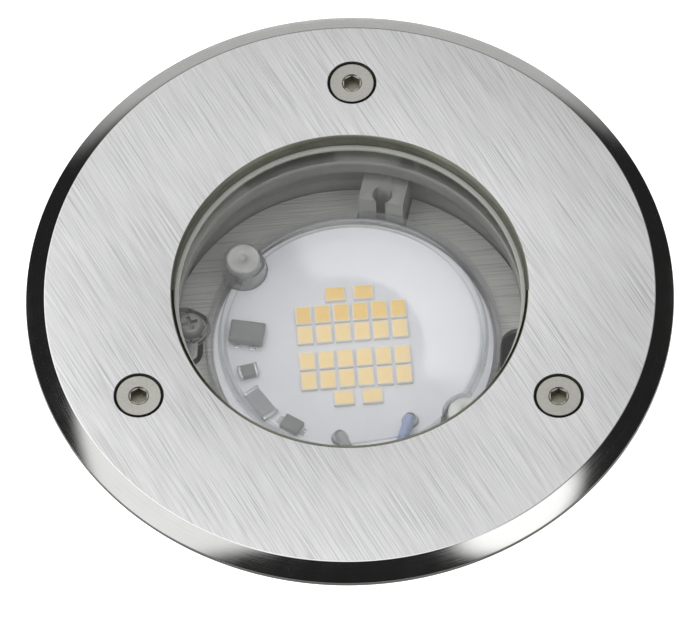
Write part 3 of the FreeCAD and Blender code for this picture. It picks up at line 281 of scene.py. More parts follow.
@dataclass(frozen=True)
class TurnedFinish(Finish):
    """Metal polished on a lathe: faint rings about the part's axis, and smears."""

    ring: float = 0.12

    def surface(self, tree: Tree) -> Socket:
        """Rings by the distance from the axis, and the shader over them.

        Args:
            tree: the material's tree.

        Returns:
            The shader.
        """
        flat = add(tree, "VectorMath", {0: add(tree, "TexCoord", {}, "Object"),
                                        1: (1.0, 1.0, 0.0)}, operation="MULTIPLY")
        radius = add(tree, "VectorMath", {0: flat}, "Value", operation="LENGTH")
        steps = add(tree, "Math", {0: radius, 1: self.ring * MM}, operation="DIVIDE")
        rings = add(tree, "TexNoise", {"W": steps, "Scale": 1.0, "Detail": 2.0}, "Fac",
                    noise_dimensions="1D")
        smears = add(tree, "Math", {0: grains(tree, (3.0,) * 3), 1: 0.4, 2: -0.2},
                     operation="MULTIPLY_ADD")
        value = add(tree, "Math", {0: rings, 1: smears}, operation="ADD")
        colour = shaded(tree, value, NOISE_LOW, NOISE_HIGH, self.second, self.colour)
        return self.skin(tree, colour, value, (0.0, 0.08), value)


@dataclass(frozen=True)
class ClearFinish(Finish):
    """Clear sheet or moulding: shows what lies behind it, and reflects more at a glance."""

    edge: str = "#C9D6CF"
    haze: float = 0.0
    index: float = 1.5

    def surface(self, tree: Tree) -> Socket:
        """Clear, unbending body, darker where it is seen aslant, under a reflecting skin.

        Args:
            tree: the material's tree.

        Returns:
            The shader.
        """
        slant = add(tree, "LayerWeight", {"Blend": 0.5}, "Facing")
        turned_away = add(tree, "MapRange", {"Value": slant, "From Min": 0.45, "From Max": 0.95})
        clear = add(tree, "MixShader", {
            0: turned_away,
            1: add(tree, "BsdfTransparent", {"Color": linear(self.colour)}),
            2: add(tree, "BsdfTransparent", {"Color": linear(self.edge)})})
        wavy = grains(tree, (self.grain,) * 3)
        clouding = add(tree, "MapRange", {
            "Value": wavy, "From Min": NOISE_LOW, "From Max": NOISE_HIGH,
            "To Min": self.haze * 0.7, "To Max": self.haze * 1.3})
        body = add(tree, "MixShader", {
            0: clouding, 1: clear, 2: add(tree, "BsdfDiffuse", {"Color": linear(self.second)})})
        skin = add(tree, "BsdfGlossy", {
            "Color": linear(WHITE), "Roughness": self.roughness,
            "Normal": self.bumped(tree, wavy)})
        # The same share is thrown back from both sides of the wall, since rays aren't bent in it.
        square_on = ((self.index - 1) / (self.index + 1)) ** 2
        fifth = add(tree, "Math", {0: slant, 1: 5.0}, operation="POWER")
        bounce = add(tree, "Math", {0: fifth, 1: 1 - square_on, 2: square_on},
                     operation="MULTIPLY_ADD")
        return add(tree, "MixShader", {0: bounce, 1: body, 2: skin})


# Stainless sheet brushed with a belt: pale, and its strokes break up what it mirrors. They run
# from upper left to lower right in the picture. Real ones are near 0.02 mm wide, too fine to
# show, so they are drawn 0.06 mm wide.
BRUSHED_STEEL = BrushedFinish("brushed_stainless", "#E3E3E4", "#CECECF", 0.38, relief=0.004,
                              metallic=1.0, turn=-61.0, line=0.06, scratch="#DDDDDD")
# Stainless polished on a lathe: nearly a mirror, so it goes from black to white with what it
# faces.
POLISHED_STEEL = TurnedFinish("polished_stainless", "#CBCBC9", "#C1C1BF", 0.07, relief=0.0006,
                              metallic=1.0)
# Stainless as it was cut: duller than the face, with a yellow cast.
CUT_STEEL = Finish("cut_stainless_edge", "#84857A", "#6F7065", 0.42, grain=0.25, metallic=0.9)
# An edge broken with a file, painted lighter as a highlight: a light line where it faces the light.
LIT_EDGE_STEEL = Finish("stainless_edge_painted_highlight", "#B0B0A2", "#9E9E90", 0.18, grain=0.4,
                     relief=0.004, metallic=1.0)
# Stainless painted dark in the countersinks and on the outer wall, as their shade: a dark line
# beside the bright face.
SHADED_EDGE = Finish("stainless_edge_painted_shade", "#4A4B46", "#3E3F3A", 0.45, grain=0.25, metallic=0.9)
# Zinc plated steel: light grey with a soft, mottled gloss.
ZINC = Finish("zinc_plated_steel", "#BDBDB8", "#A9A9A3", 0.45, grain=0.3, relief=0.006,
              metallic=0.45)
# Cold headed stainless: satin, without strokes, and a little warmer than the ring.
SCREW_STEEL = Finish("screw_stainless", "#BBBAB4", "#A8A7A0", 0.32, grain=0.35, relief=0.004,
                     metallic=1.0)
# The socket pressed into it: darker, as painted shade of its deep walls that shade each other.
SHADED_SOCKET_STEEL = Finish("socket_painted_shade_steel", "#9D9A8C", "#838073", 0.42, grain=0.3, relief=0.004,
                      metallic=1.0)
# Die cast aluminium, blasted: an even, matt grey.
CAST_ALUMINIUM = Finish("die_cast_aluminium", "#9D9D9A", "#8E8E8B", 0.50, grain=0.35,
                        relief=0.006)
# Rolled aluminium sheet: soft grey with lines across. Real ones are near 0.05 mm wide and are
# drawn 0.14 mm wide, so that they show.
BRUSHED_ALUMINIUM = BrushedFinish("brushed_aluminium", "#DEDDD9", "#CFCECA", 0.45, relief=0.004,
                                  metallic=0.35, turn=4.0, line=0.14, scratch="#E4E4E2")
# Turned brass: warm yellow and bright.
BRASS = Finish("turned_brass", "#C9A25A", "#B98F45", 0.28, grain=0.3, relief=0.004, metallic=1.0)
# Moulded silicone: smooth and pale, with a soft gloss along its lip.
SILICONE = Finish("pale_silicone", "#A9AAA4", "#9D9E98", 0.42, grain=0.4, relief=0.006)
# Filled silicone pad: blue grey and quite matt.
THERMAL_PAD = Finish("thermal_pad_silicone", "#7E8890", "#717B83", 0.6, grain=0.3)
# White solder mask, printed and cured: near white and even, with a half gloss.
SOLDER_MASK = Finish("white_solder_mask", "#EDEFF1", "#E7E9EC", 0.32, grain=1.2, relief=0.002)
# Moulded white resin: a warm white border round each chip.
CHIP_FRAME = Finish("chip_frame_resin", "#F8F5EC", "#F1EDE2", 0.38, grain=0.2, relief=0.003)
# Phosphor cast in clear silicone. It turns the blue share of daylight to yellow, so it looks
# brighter than a plain dye; a faint painted glow stands in for that light.
PHOSPHOR = Finish("phosphor_silicone", "#FBE2AA", "#F6D99A", 0.36, grain=0.9, relief=0.004,
                  glow="#FFDA50", glow_strength=0.15)
# The same, of a warmer white light: a deeper yellow, with the same painted glow.
PHOSPHOR_DEEP = Finish("phosphor_silicone_deep", "#F8D278", "#F0C562", 0.36, grain=0.9,
                       relief=0.004, glow="#FFD240", glow_strength=0.13)
# Moulded epoxy: grey with a fine, dull grain.
PACKAGE = Finish("moulded_epoxy", "#757A77", "#666B68", 0.46, grain=0.15, relief=0.006)
# Glaze over the resistor: a smoother grey than the ceramic's white.
RESISTOR_TOP = Finish("resistor_glaze", "#999D9D", "#8D9191", 0.4, grain=0.3, relief=0.003)
# Fired ceramic: off white and matt.
CERAMIC = Finish("resistor_ceramic", "#DADCD9", "#CFD1CE", 0.45, grain=0.3, relief=0.004)
# Molten tin, set: bright, with small waves.
TIN = Finish("tinned_metal", "#D8D9D8", "#C2C4C3", 0.22, grain=0.4, metallic=1.0)
# Extruded silicone over wire: even colours with a soft gloss.
GREY_LEAD = Finish("grey_silicone_lead", "#A3A4A4", "#959796", 0.42, grain=0.3, relief=0.003)
BLUE_LEAD = Finish("blue_silicone_lead", "#9BAED6", "#8CA0CC", 0.42, grain=0.3, relief=0.003)
EARTH_LEAD = Finish("green_yellow_lead", "#6FA33A", "#B9B43A", 0.42, grain=0.9, relief=0.003)
# Moulded polyamide, left natural: cream, half matt.
BLOCK_PLASTIC = Finish("terminal_polyamide", "#D9D7CE", "#CFCDC3", 0.4, grain=0.3, relief=0.004)
# Moulded polyamide, dyed black: dark with a fine eroded grain.
GLAND_NYLON = Finish("gland_polyamide", "#2B2C2D", "#232425", 0.42, grain=0.35, relief=0.008)
# Moulded rubber: black and dull.
SEAL_RUBBER = Finish("seal_rubber", "#1D1D1D", "#252525", 0.6, grain=0.2, relief=0.008)
# Moulded polypropylene: charcoal, with an eroded grain and a faint sheen on its curve.
SLEEVE_PLASTIC = Finish("sleeve_polypropylene", "#252627", "#1E1F20", 0.48, grain=0.45,
                        relief=0.02)
# Float glass, tempered: clear, a trace grey when it is seen aslant, and very faintly wavy.
WINDOW_GLASS = ClearFinish("tempered_glass", "#FEFEFE", WHITE, 0.02, grain=60.0, relief=0.002,
                           edge="#D9DCD9")
# Moulded clear polycarbonate: clear with a slight haze, and soft glints on its bends.
CLEAR_CAP = ClearFinish("clear_polycarbonate", "#FDFDFE", WHITE, 0.06, grain=7.0, relief=0.015,
                        edge="#EFF1F2", haze=0.03, index=1.72)
# Its upright walls and the rivet columns get milkier, paler copies with less reflection: painted
# light that stands for the bright board seen through them rather than the dark wall beside them.
CAP_EDGE = ClearFinish("clear_polycarbonate_edge", "#FAFCFC", "#F2F5F5", 0.2, grain=4.0,
                       relief=0.02, edge="#EEF0F0", haze=0.22, index=1.2)
CAP_COLUMN = ClearFinish("clear_polycarbonate_column", "#FCFDFD", "#F2F5F5", 0.2, grain=4.0,
                         edge="#F6F7F7", haze=0.32, index=1.08)
# Natural nylon, moulded: milky, so that it takes some of the grey behind it.
NYLON = ClearFinish("natural_nylon", "#FAFBFA", "#E3E4E1", 0.3, grain=5.0, relief=0.004,
                    edge="#E9ECEB", haze=0.72, index=1.53)


# ---------------------------------------------------------------- meshes

def merged(shape: Shape, parts: Sequence[int] | None = None) -> bpy.types.Mesh:
    """A shape in millimetres as a mesh in metres, its doubles merged and its faces outwards.

    Args:
        shape: points and faces.
        parts: number of each face's finish.

    Returns:
        The mesh.
    """
    points, faces = shape
    mesh = bpy.data.meshes.new("shape")
    mesh.from_pydata((np.asarray(points) * MM).tolist(), [], faces)
    if parts is not None:
        mesh.polygons.foreach_set("material_index", np.asarray(parts, np.int32))
    work = bmesh.new()
    work.from_mesh(mesh)
    bmesh.ops.remove_doubles(work, verts=work.verts, dist=1e-7)
    bmesh.ops.dissolve_degenerate(work, edges=work.edges, dist=1e-7)
    bmesh.ops.recalc_face_normals(work, faces=work.faces)
    work.to_mesh(mesh)
    work.free()
    return mesh


def make_piece(name: str, mesh: bpy.types.Mesh, finishes: Sequence[Finish], body: Body,
               slot: str, nodes: Sequence[str] = (), crease: float = 32.0,
               choose: Choice | None = None) -> bpy.types.Object:
    """Makes a mesh a piece of the object: dresses it and puts it on its body.

    Args:
        name: the piece's name.
        mesh: its mesh, in metres.
        finishes: its finishes.
        body: what it rides on.
        slot: name of a material slot; not used.
        nodes: construction nodes that it stands for.
        crease: edges sharper than this many degrees stay sharp.
        choose: gives each face's finish from the faces' middles in millimetres and normals.

    Returns:
        The object.
    """
    mesh.name = name
    for finish in finishes:
        mesh.materials.append(finish.material())
    count = len(mesh.polygons)
    if choose:
        middles, normals = np.zeros(count * 3), np.zeros(count * 3)
        mesh.polygons.foreach_get("center", middles)
        mesh.polygons.foreach_get("normal", normals)
        pick = choose(middles.reshape(-1, 3) / MM, normals.reshape(-1, 3))
        mesh.polygons.foreach_set("material_index", pick.astype(np.int32))
    mesh.polygons.foreach_set("use_smooth", np.ones(count, bool))
    mesh.set_sharp_from_angle(angle=math.radians(crease))
    mesh.update()
    piece = bpy.data.objects.new(name, mesh)
    bpy.context.scene.collection.objects.link(piece)
    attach(piece, body.value)
    if nodes:
        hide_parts(*nodes)
    log.info("%s on %s, %d faces", name, body.value, count)
    return piece


def dress_node(node: str, finish: Finish, body: Body, slot: str) -> bpy.types.Object:
    """A construction node with its points merged, so that its curved faces shade smoothly.

    Args:
        node: the node's name.
        finish: its finish.
        body: what it rides on.
        slot: name of a material slot, handed on to make_piece.

    Returns:
        The piece that stands for the node.
    """
    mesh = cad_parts[node].data.copy()
    mesh.materials.clear()
    work = bmesh.new()
    work.from_mesh(mesh)
    bmesh.ops.remove_doubles(work, verts=work.verts, dist=2e-6)
    bmesh.ops.dissolve_limit(work, angle_limit=math.radians(0.5), verts=work.verts,
                             edges=work.edges)
    work.to_mesh(mesh)
    work.free()
    return make_piece(f"{node}_dressed", mesh, [finish], body, slot, [node], 30.0)


class Change(Enum):
    """How one solid changes another."""

    TAKE = "DIFFERENCE"
    JOIN = "UNION"


def carved(base: bpy.types.Mesh,
           changes: Sequence[tuple[Change, bpy.types.Mesh]]) -> bpy.types.Mesh:
    """A solid after others are taken from it or joined to it.

    Args:
        base: the solid, used up.
        changes: what is done with each other solid, in order; they are used up too.

    Returns:
        The mesh that is left, in metres.
    """
    helpers = [bpy.data.objects.new("helper", mesh)
               for mesh in (base, *(mesh for _, mesh in changes))]
    for helper in helpers:
        bpy.context.scene.collection.objects.link(helper)
    for (kind, _), helper in zip(changes, helpers[1:]):
        change = helpers[0].modifiers.new("change", "BOOLEAN")
        change.operation, change.solver, change.object = kind.value, "EXACT", helper
    graph = bpy.context.evaluated_depsgraph_get()
    mesh = bpy.data.meshes.new_from_object(helpers[0].evaluated_get(graph))
    for helper in helpers:
        old = helper.data
        bpy.data.objects.remove(helper)
        bpy.data.meshes.remove(old)
    return mesh


def on_circle(radius: float, angle: float, centre: Place = (0.0, 0.0)) -> Place:
    """The point at an angle in degrees on a circle about a centre."""
    turn = math.radians(angle)
    return centre[0] + radius * math.cos(turn), centre[1] + radius * math.sin(turn)


def spun(points: Points | Place, angle: float) -> Points:
    """Points turned about Z by degrees a: x cos a - y sin a and x sin a + y cos a.

    Args:
        points: x, y and whatever follows along the last axis.
        angle: degrees.

    Returns:
        The turned points.
    """
    turn = math.radians(angle)
    made = np.array(points, float)
    made[..., :2] = made[..., :2] @ np.array([[math.cos(turn), math.sin(turn)],
                                              [-math.sin(turn), math.cos(turn)]])
    return made


def grid_faces(rows: int, columns: int, closed_rows: bool = False,
               closed_columns: bool = True) -> Faces:
    """Faces of a grid of points, row after row.

    Args:
        rows: number of rows.
        columns: points in a row.
        closed_rows: whether the last row joins the first.
        closed_columns: whether the last column joins the first.

    Returns:
        Point numbers of each quad.
    """
    row = np.arange(rows if closed_rows else rows - 1)[:, None]
    column = np.arange(columns if closed_columns else columns - 1)[None, :]
    next_row = (row + 1) % rows
    next_column = (column + 1) % columns
    quads = np.stack([row * columns + column, row * columns + next_column,
                      next_row * columns + next_column, next_row * columns + column], -1)
    return quads.reshape(-1, 4).tolist()


def turned(profile: Sequence[Place], centre: Place = (0.0, 0.0), steps: int = 256,
           closed: bool = True) -> Shape:
    """A profile turned about an upright axis.

    A point is centre + radius * (cos a, sin a) with the profile's height, for a round the circle.

    Args:
        profile: radius and height of each point.
        centre: x and y of the axis.
        steps: points round the circle.
        closed: whether the profile's last point joins its first.

    Returns:
        Points and faces.
    """
    line = np.asarray(profile, float)
    angle = np.linspace(0, 2 * np.pi, steps, endpoint=False)
    radius, height = line[:, 0][:, None], line[:, 1][:, None]
    points = np.stack([centre[0] + radius * np.cos(angle), centre[1] + radius * np.sin(angle),
                       height + 0 * angle], -1)
    return points.reshape(-1, 3), grid_faces(len(line), steps, closed)


def shaft(line: Sequence[Place], place: Place) -> bpy.types.Mesh:
    """A solid turned about a place from its outer line, closed to the axis at both ends."""
    return merged(turned([(0, line[0][1]), *line, (0, line[-1][1])], place, 96))


def rounded(profile: Sequence[Place], radii: Sequence[float], steps: int = 4) -> list[Place]:
    """A closed profile with its corners replaced by short curves.

    Each corner becomes a quadratic curve from a point on the edge before it to one on the edge
    after it, with the corner as its control point.

    Args:
        profile: corners as radius and height.
        radii: distance that each corner gives up along both edges.
        steps: pieces of each curve.

    Returns:
        The finer profile.
    """
    corners = np.asarray(profile, float)
    made: list[Place] = []
    share = np.linspace(0, 1, steps + 1)[:, None]
    for number, corner in enumerate(corners):
        if radii[number] <= 0:
            made.append(tuple(corner))
            continue
        before = corners[number - 1] - corner
        after = corners[(number + 1) % len(corners)] - corner
        first = corner + before / np.linalg.norm(before) * radii[number]
        last = corner + after / np.linalg.norm(after) * radii[number]
        curve = (1 - share) ** 2 * first + 2 * share * (1 - share) * corner + share ** 2 * last
        made.extend(map(tuple, curve))
    return made


def joined(shapes: Sequence[Shape]) -> tuple[Shape, list[int]]:
    """Several shapes as one.

    Args:
        shapes: points and faces of each.

    Returns:
        The shape, and for each face the number of the shape it came from.
    """
    faces: Faces = []
    source: list[int] = []
    start = 0
    for number, (points, quads) in enumerate(shapes):
        faces.extend([[corner + start for corner in quad] for quad in quads])
        source.extend([number] * len(quads))
        start += len(points)
    return (np.concatenate([points for points, _ in shapes]), faces), source


def level_ring(outline: Points, height: float) -> Points:
    """A flat outline at a height."""
    return np.column_stack([outline, np.full(len(outline), height)])


def rounded_slab(length: float, width: float, low: float, high: float, corner: float, edge: float,
                 centre: Place = (0.0, 0.0), turn: float = 0.0, crown: float = 0.0,
                 steps: int = 5) -> Shape:
    """A box with round upright corners, a rounded top edge and a crowned top.

    The outline is a rounded rectangle. Rings of it climb the side, shrink over the top edge along
    a quarter circle, and close at the middle of the top, lifted by crown * (1 - distance squared).

    Args:
        length: size along the turned X axis.
        width: size along the turned Y axis.
        low: height of the underside.
        high: height of the top's edge.
        corner: radius of the upright corners.
        edge: radius of the top edge.
        centre: x and y of the middle.
        turn: degrees about Z.
        crown: rise of the top's middle.
        steps: points in each corner.

    Returns:
        Points and faces.
    """
    quarter = np.linspace(0, np.pi / 2, steps)
    spots, outwards = [], []
    for number, (sign_x, sign_y) in enumerate(((1, 1), (-1, 1), (-1, -1), (1, -1))):
        angle = quarter + number * np.pi / 2
        out = np.stack([np.cos(angle), np.sin(angle)], -1)
        middle = np.array([sign_x * (length / 2 - corner), sign_y * (width / 2 - corner)])
        spots.append(middle + corner * out)
        outwards.append(out)
    outline, out = np.concatenate(spots), np.concatenate(outwards)
    rings = [level_ring(outline * 0, low), level_ring(outline, low)]
    for angle in np.linspace(0, np.pi / 2, 4):
        rings.append(level_ring(outline - out * edge * (1 - math.cos(angle)),
                                high - edge + edge * math.sin(angle)))
    for share in (0.66, 0.33, 0.0):
        rings.append(level_ring((outline - out * edge) * share, high + crown * (1 - share ** 2)))
    points = spun(np.concatenate(rings), turn)
    points[:, :2] += centre
    return points, grid_faces(len(rings), len(outline))


def prism(corners: Points, low: float, high: float) -> Shape:
    """An upright prism over a flat outline, closed at both ends by fans round its middle.

    Args:
        corners: x and y of each corner.
        low: height of the underside.
        high: height of the top.

    Returns:
        Points and faces.
    """
    middle = np.repeat(corners.mean(0)[None], len(corners), 0)
    rings = [level_ring(ring, height) for ring, height in
             ((middle, low), (corners, low), (corners, high), (middle, high))]
    return np.concatenate(rings), grid_faces(4, len(corners))


# ---------------------------------------------------------------- trim ring and screws

# Node, body and place round the ring in degrees of each cover screw.
COVER_SCREWS = (("cover_screw_back", Body.SCREW_BACK, 90.0),
                ("cover_screw_left", Body.SCREW_LEFT, 210.0),
                ("cover_screw_right", Body.SCREW_RIGHT, 330.0))


class RingFinish(IntEnum):
    """The ring's finishes, numbered as its materials are."""

    FACE = 0
    BEVEL = 1
    CUT = 2
    LIT_EDGE = 3
    DARK = 4


@dataclass
class TrimRing:
    """Stainless ring: brushed face, polished bevel, three countersinks."""

    radius: float = 55.0
    bore: float = 29.75
    mouth: float = 0.55
    mouth_drop: float = 0.3
    low: float = 103.5
    high: float = 106.0
    bevel_width: float = 3.2
    bevel_height: float = 1.8
    screw_circle: float = 40.8
    hole: float = 2.3
    sink: float = 4.25
    rounding: tuple[float, ...] = (0.1, 0.1, 0.12, 0.12, 0.12, 0.12)

    def profile(self) -> list[Place]:
        """Section through the ring with its edges slightly broken.

        Returns:
            Radius and height of each point.
        """
        corners = [(self.bore, self.low), (self.radius, self.low),
                   (self.radius, self.high - self.bevel_height),
                   (self.radius - self.bevel_width, self.high),
                   (self.bore + self.mouth, self.high), (self.bore, self.high - self.mouth_drop)]
        return rounded(corners, self.rounding)

    def countersink(self, angle: float) -> bpy.types.Mesh:
        """What is cut away for one screw.

        Args:
            angle: the screw's place round the ring, in degrees.

        Returns:
            The solid.
        """
        depth = self.sink - self.hole
        return shaft([(self.hole, self.low - 1), (self.hole, self.high - depth),
                      (self.sink, self.high), (self.sink, self.high + 1)],
                     on_circle(self.screw_circle, angle))

    def build(self) -> bpy.types.Object:
        """Makes the ring.

        Returns:
            The piece.
        """
        mesh = carved(merged(turned(self.profile(), steps=360)),
                      [(Change.TAKE, self.countersink(angle)) for _, _, angle in COVER_SCREWS])
        return make_piece(
            "trim_ring_dressed", mesh, [BRUSHED_STEEL, POLISHED_STEEL, CUT_STEEL, LIT_EDGE_STEEL,
                                        SHADED_EDGE],
            Body.COVER, "stainless", ["trim_ring"], 20.0, self.finish_of)

    def finish_of(self, middle: Points, normal: Points) -> np.ndarray:
        """Brushed face, polished bevel, plain walls; painted shade in the sinks and on the outside.

        The opening's edge takes a painted highlight only in front, where it faces the light.

        Args:
            middle: the faces' middles in millimetres.
            normal: the faces' normals.

        Returns:
            The finish of each face.
        """
        radius = np.hypot(middle[:, 0], middle[:, 1])
        level = normal[:, 2] > 0.999
        off_face = ~level | (middle[:, 2] < self.high - 0.01)
        outside = (np.abs(normal[:, 2]) < 0.5) & (radius > self.radius - 0.3)
        mouth = (radius < self.bore + self.mouth + 0.1) & ~level
        # The front half of the opening's edge gets the painted highlight, and its back keeps the
        # cut finish.
        lit = mouth & (normal[:, 2] > 0.2) & (middle[:, 1] < 0)
        # The countersinks and the outer wall take the painted shade.
        sink = off_face & (np.abs(radius - self.screw_circle) < self.sink + 0.2)
        return np.select([lit, outside | sink, mouth, off_face],
                         [RingFinish.LIT_EDGE, RingFinish.DARK, RingFinish.CUT,
                          RingFinish.BEVEL], RingFinish.FACE)


@dataclass
class CoverScrew:
    """Countersunk screw with a hexagon socket and a shallow ring round it."""

    node: str
    body: Body
    angle: float
    circle: float = 40.8
    top: float = 105.9
    head: float = 3.8
    shank: float = 2.0
    tip: float = 94.0
    flats: float = 2.7
    depth: float = 1.8
    mouth: float = 1.75
    step_depth: float = 0.18
    step_slope: float = 0.22
    tip_chamfer: float = 0.5
    edge: float = 0.1

    def build(self) -> bpy.types.Object:
        """Makes the screw: its head's edge is broken, and a shallow step lies in its top.

        Returns:
            The piece.
        """
        neck = self.top - (self.head - self.shank)
        step = self.top - self.step_depth
        line = [(self.shank - self.tip_chamfer, self.tip),
                (self.shank, self.tip + self.tip_chamfer), (self.shank, neck),
                (self.head, self.top - self.edge * 2), (self.head, self.top - self.edge),
                (self.head - self.edge, self.top), (self.mouth, self.top),
                (self.mouth - self.step_slope, step)]
        place = on_circle(self.circle, self.angle)
        screw = merged(turned([(0, self.tip), *line, (0, step)], place, 128))
        corner = self.flats / 2 / math.cos(math.radians(30))
        outline = np.array([on_circle(corner, side * 60 + self.angle, place)
                            for side in range(6)])
        socket = merged(prism(outline, self.top - self.depth, self.top + 1))
        mesh = carved(screw, [(Change.TAKE, socket)])
        # The socket's walls and floor take the painted shade.
        return make_piece(f"{self.node}_dressed", mesh, [SCREW_STEEL, SHADED_SOCKET_STEEL], self.body,
                          "screw", [self.node], 25.0, self.in_socket)

    def in_socket(self, middle: Points, normal: Points) -> np.ndarray:
        """Which faces are the socket's walls and floor, from their middles.

        Args:
            middle: the faces' middles in millimetres.
            normal: the faces' normals, which aren't needed here.

        Returns:
            True for each face in the socket.
        """
        x, y = on_circle(self.circle, self.angle)
        near = np.hypot(middle[:, 0] - x, middle[:, 1] - y) < self.flats * 0.56
        below = self.top - middle[:, 2]
        return near & (below > 0.25) & (below < self.depth + 0.1)


# ---------------------------------------------------------------- window

@dataclass
class Window:
    """Tempered glass disc and the silicone profile round its edge."""

    radius: float = 33.0
    low: float = 98.7
    high: float = 102.7
    ground: float = 0.4
    seat: float = 97.7
    gasket: float = 34.35
    lip: float = 29.1
    ring_low: float = 103.5
    play: float = 0.05
    lower_step: float = 0.1
    rounding: tuple[float, ...] = (0.25, 0.25, 0.25, 0.25, 0.2, 0, 0, 0.25)

    def build_glass(self) -> bpy.types.Object:
        """Makes the glass with its ground edges.

        Returns:
            The piece.
        """
        inner = self.radius - self.ground
        corners = [(0, self.low), (inner, self.low), (self.radius, self.low + self.ground),
                   (self.radius, self.high - self.ground), (inner, self.high), (0, self.high)]
        return make_piece("window_glass_dressed", merged(turned(corners, steps=192)),
                          [WINDOW_GLASS], Body.WINDOW, "glass", ["window_glass"])

    def build_gasket(self) -> bpy.types.Object:
        """Makes the gasket, its lips rounded.

        Returns:
            The piece.
        """
        channel = self.radius + self.play
        lower = self.lip + self.lower_step
        corners = [(lower, self.seat), (self.gasket, self.seat), (self.gasket, self.ring_low),
                   (self.lip, self.ring_low), (self.lip, self.high), (channel, self.high),
                   (channel, self.low), (lower, self.low)]
        profile = rounded(corners, self.rounding)
        return make_piece("glass_gasket_dressed", merged(turned(profile)), [SILICONE],
                          Body.WINDOW, "silicone", ["glass_gasket"])


# ---------------------------------------------------------------- light module

# Middle of the round module, and height of the board's upper face.
MODULE = (0.4, -0.3)
BOARD_TOP = 86.7


@dataclass
class ChipArray:
    """Light emitting chips: a pale resin frame round a well filled with phosphor."""

    turn: float = 5.0
    height: float = 0.7
    long: float = 3.5
    short: float = 2.8
    pitch: float = 3.27
    pair_pitch: float = 4.9
    rows: tuple[float, ...] = (6.42, 2.55, -2.55, -6.42)
    pair_row: float = 10.2
    frame_width: float = 0.19
    proud: float = 0.02
    fill: float = 0.12

    def places(self) -> list[tuple[float, float, float, float]]:
        """Middle, length and width of every chip, in the array's own axes.

        Returns:
            X, y, length and width of each.
        """
        made = []
        for row in (self.pair_row, -self.pair_row):
            for side in (-1, 1):
                made.append((side * self.pair_pitch / 2, row, self.long, self.short))
        for row in self.rows:
            for column in range(6):
                made.append(((column - 2.5) * self.pitch, row, self.short, self.long))
        return made

    def build(self) -> bpy.types.Object:
        """Makes all the chips as one piece.

        Returns:
            The piece.
        """
        shapes, finish = [], []
        top = BOARD_TOP + self.height
        inset = self.frame_width * 2
        for x, y, length, width in self.places():
            spot = spun((x, y), self.turn) + MODULE
            shapes.append(rounded_slab(length, width, BOARD_TOP, top - self.proud, corner=0.18,
                                       edge=0.1, centre=spot, turn=self.turn))
            shapes.append(rounded_slab(length - inset, width - inset, top - self.fill, top,
                                       corner=0.35, edge=0.06, centre=spot, turn=self.turn,
                                       crown=0.03))
            finish += [0, 2 if y > self.rows[1] else 1]
        shape, source = joined(shapes)
        return make_piece("led_chips_dressed", merged(shape, [finish[number] for number in source]),
                          [CHIP_FRAME, PHOSPHOR, PHOSPHOR_DEEP], Body.LUMINAIRE, "chip",
                          ["led_chips"], 40.0)


@dataclass
class ClearCap:
    """Clear moulded cover: level rim, raised sloping band, flat middle, two rivet columns."""

    radius: float = 25.4
    low: float = 84.65
    level: float = 89.4
    wall: float = 0.9
    brow: float = 23.2
    foot: float = 13.0
    rise: float = 2.1
    lean: float = 0.6
    rivet_circle: float = 24.3
    rivet_angle: float = 141.9
    column: float = 3.9
    lug_top: float = 89.4
    well: float = 3.25
    shank: float = 1.67
    slot_angle: float = -80.0
    slot_width: float = 12.5
    slot_depth: float = 4.5
    rounding: tuple[float, ...] = (0, 0, 0.4, 0.3, 0.5, 2.0, 0)

    def block(self, wall: float, low: float) -> bpy.types.Mesh:
        """The solid under the cover's profile, drawn a wall's thickness inside it.

        Args:
            wall: how far inside the outer skin it is drawn.
            low: height of its foot.

        Returns:
            The solid.
        """
        level = self.level - wall
        brow = self.brow - wall
        corners = [(0, low), (self.radius - wall, low), (self.radius - wall, level),
                   (brow, level), (brow - self.lean, level + self.rise), (self.foot, level),
                   (0, level)]
        return merged(turned(rounded(corners, self.rounding, 6), MODULE))

    def rivets(self) -> list[Place]:
        """Places of the two rivets."""
        return [on_circle(self.rivet_circle, self.rivet_angle + turn, MODULE)
                for turn in (0, 180)]

    def edge_slot(self) -> bpy.types.Mesh:
        """What is cut out of the cover's edge, where the leads come in.

        Returns:
            The solid.
        """
        half = self.slot_width / 2
        inner, outer = self.radius - self.slot_depth, self.radius + self.slot_depth
        corners = spun([(inner, -half), (outer, -half), (outer, half), (inner, half)],
                       self.slot_angle) + MODULE
        return merged(prism(corners, self.low - 2, self.level + 4))

    def build(self) -> bpy.types.Object:
        """Makes the cover: shell and rivet columns, less the hollow, the slot and the wells.

        Returns:
            The piece.
        """
        places = self.rivets()
        # Each tool reaches some millimetres past what it cuts.
        hollow = carved(self.block(self.wall, self.low - 1), [
            (Change.TAKE, shaft([(self.column, self.low - 2), (self.column, self.lug_top + 8)],
                                place)) for place in places])
        columns = [shaft([(self.column, self.low), (self.column, self.lug_top)], place)
                   for place in places]
        wells = [shaft([(self.shank, self.low - 2), (self.shank, self.lug_top),
                        (self.well, self.lug_top), (self.well, self.lug_top + 6)], place)
                 for place in places]
        mesh = carved(self.block(0.0, self.low), [
            *((Change.JOIN, column) for column in columns),
            *((Change.TAKE, tool) for tool in (hollow, self.edge_slot(), *wells))])
        return make_piece("led_cover_dressed", mesh, [CLEAR_CAP, CAP_EDGE, CAP_COLUMN],
                          Body.LUMINAIRE, "clear", ["led_cover"], 28.0, self.finish_of)

    def finish_of(self, middle: Points, normal: Points) -> np.ndarray:
        """The upright walls of rim and band, and the columns, have paler finishes of their own, as
        painted light.

        Args:
            middle: the faces' middles in millimetres.
            normal: the faces' normals.

        Returns:
            The finish of each face.
        """
        pick = (np.abs(normal[:, 2]) < 0.6).astype(int)
        for x, y in self.rivets():
            near = np.hypot(middle[:, 0] - x, middle[:, 1] - y) < self.column + 0.2
            pick[near & (pick == 1)] = 2
        return pick


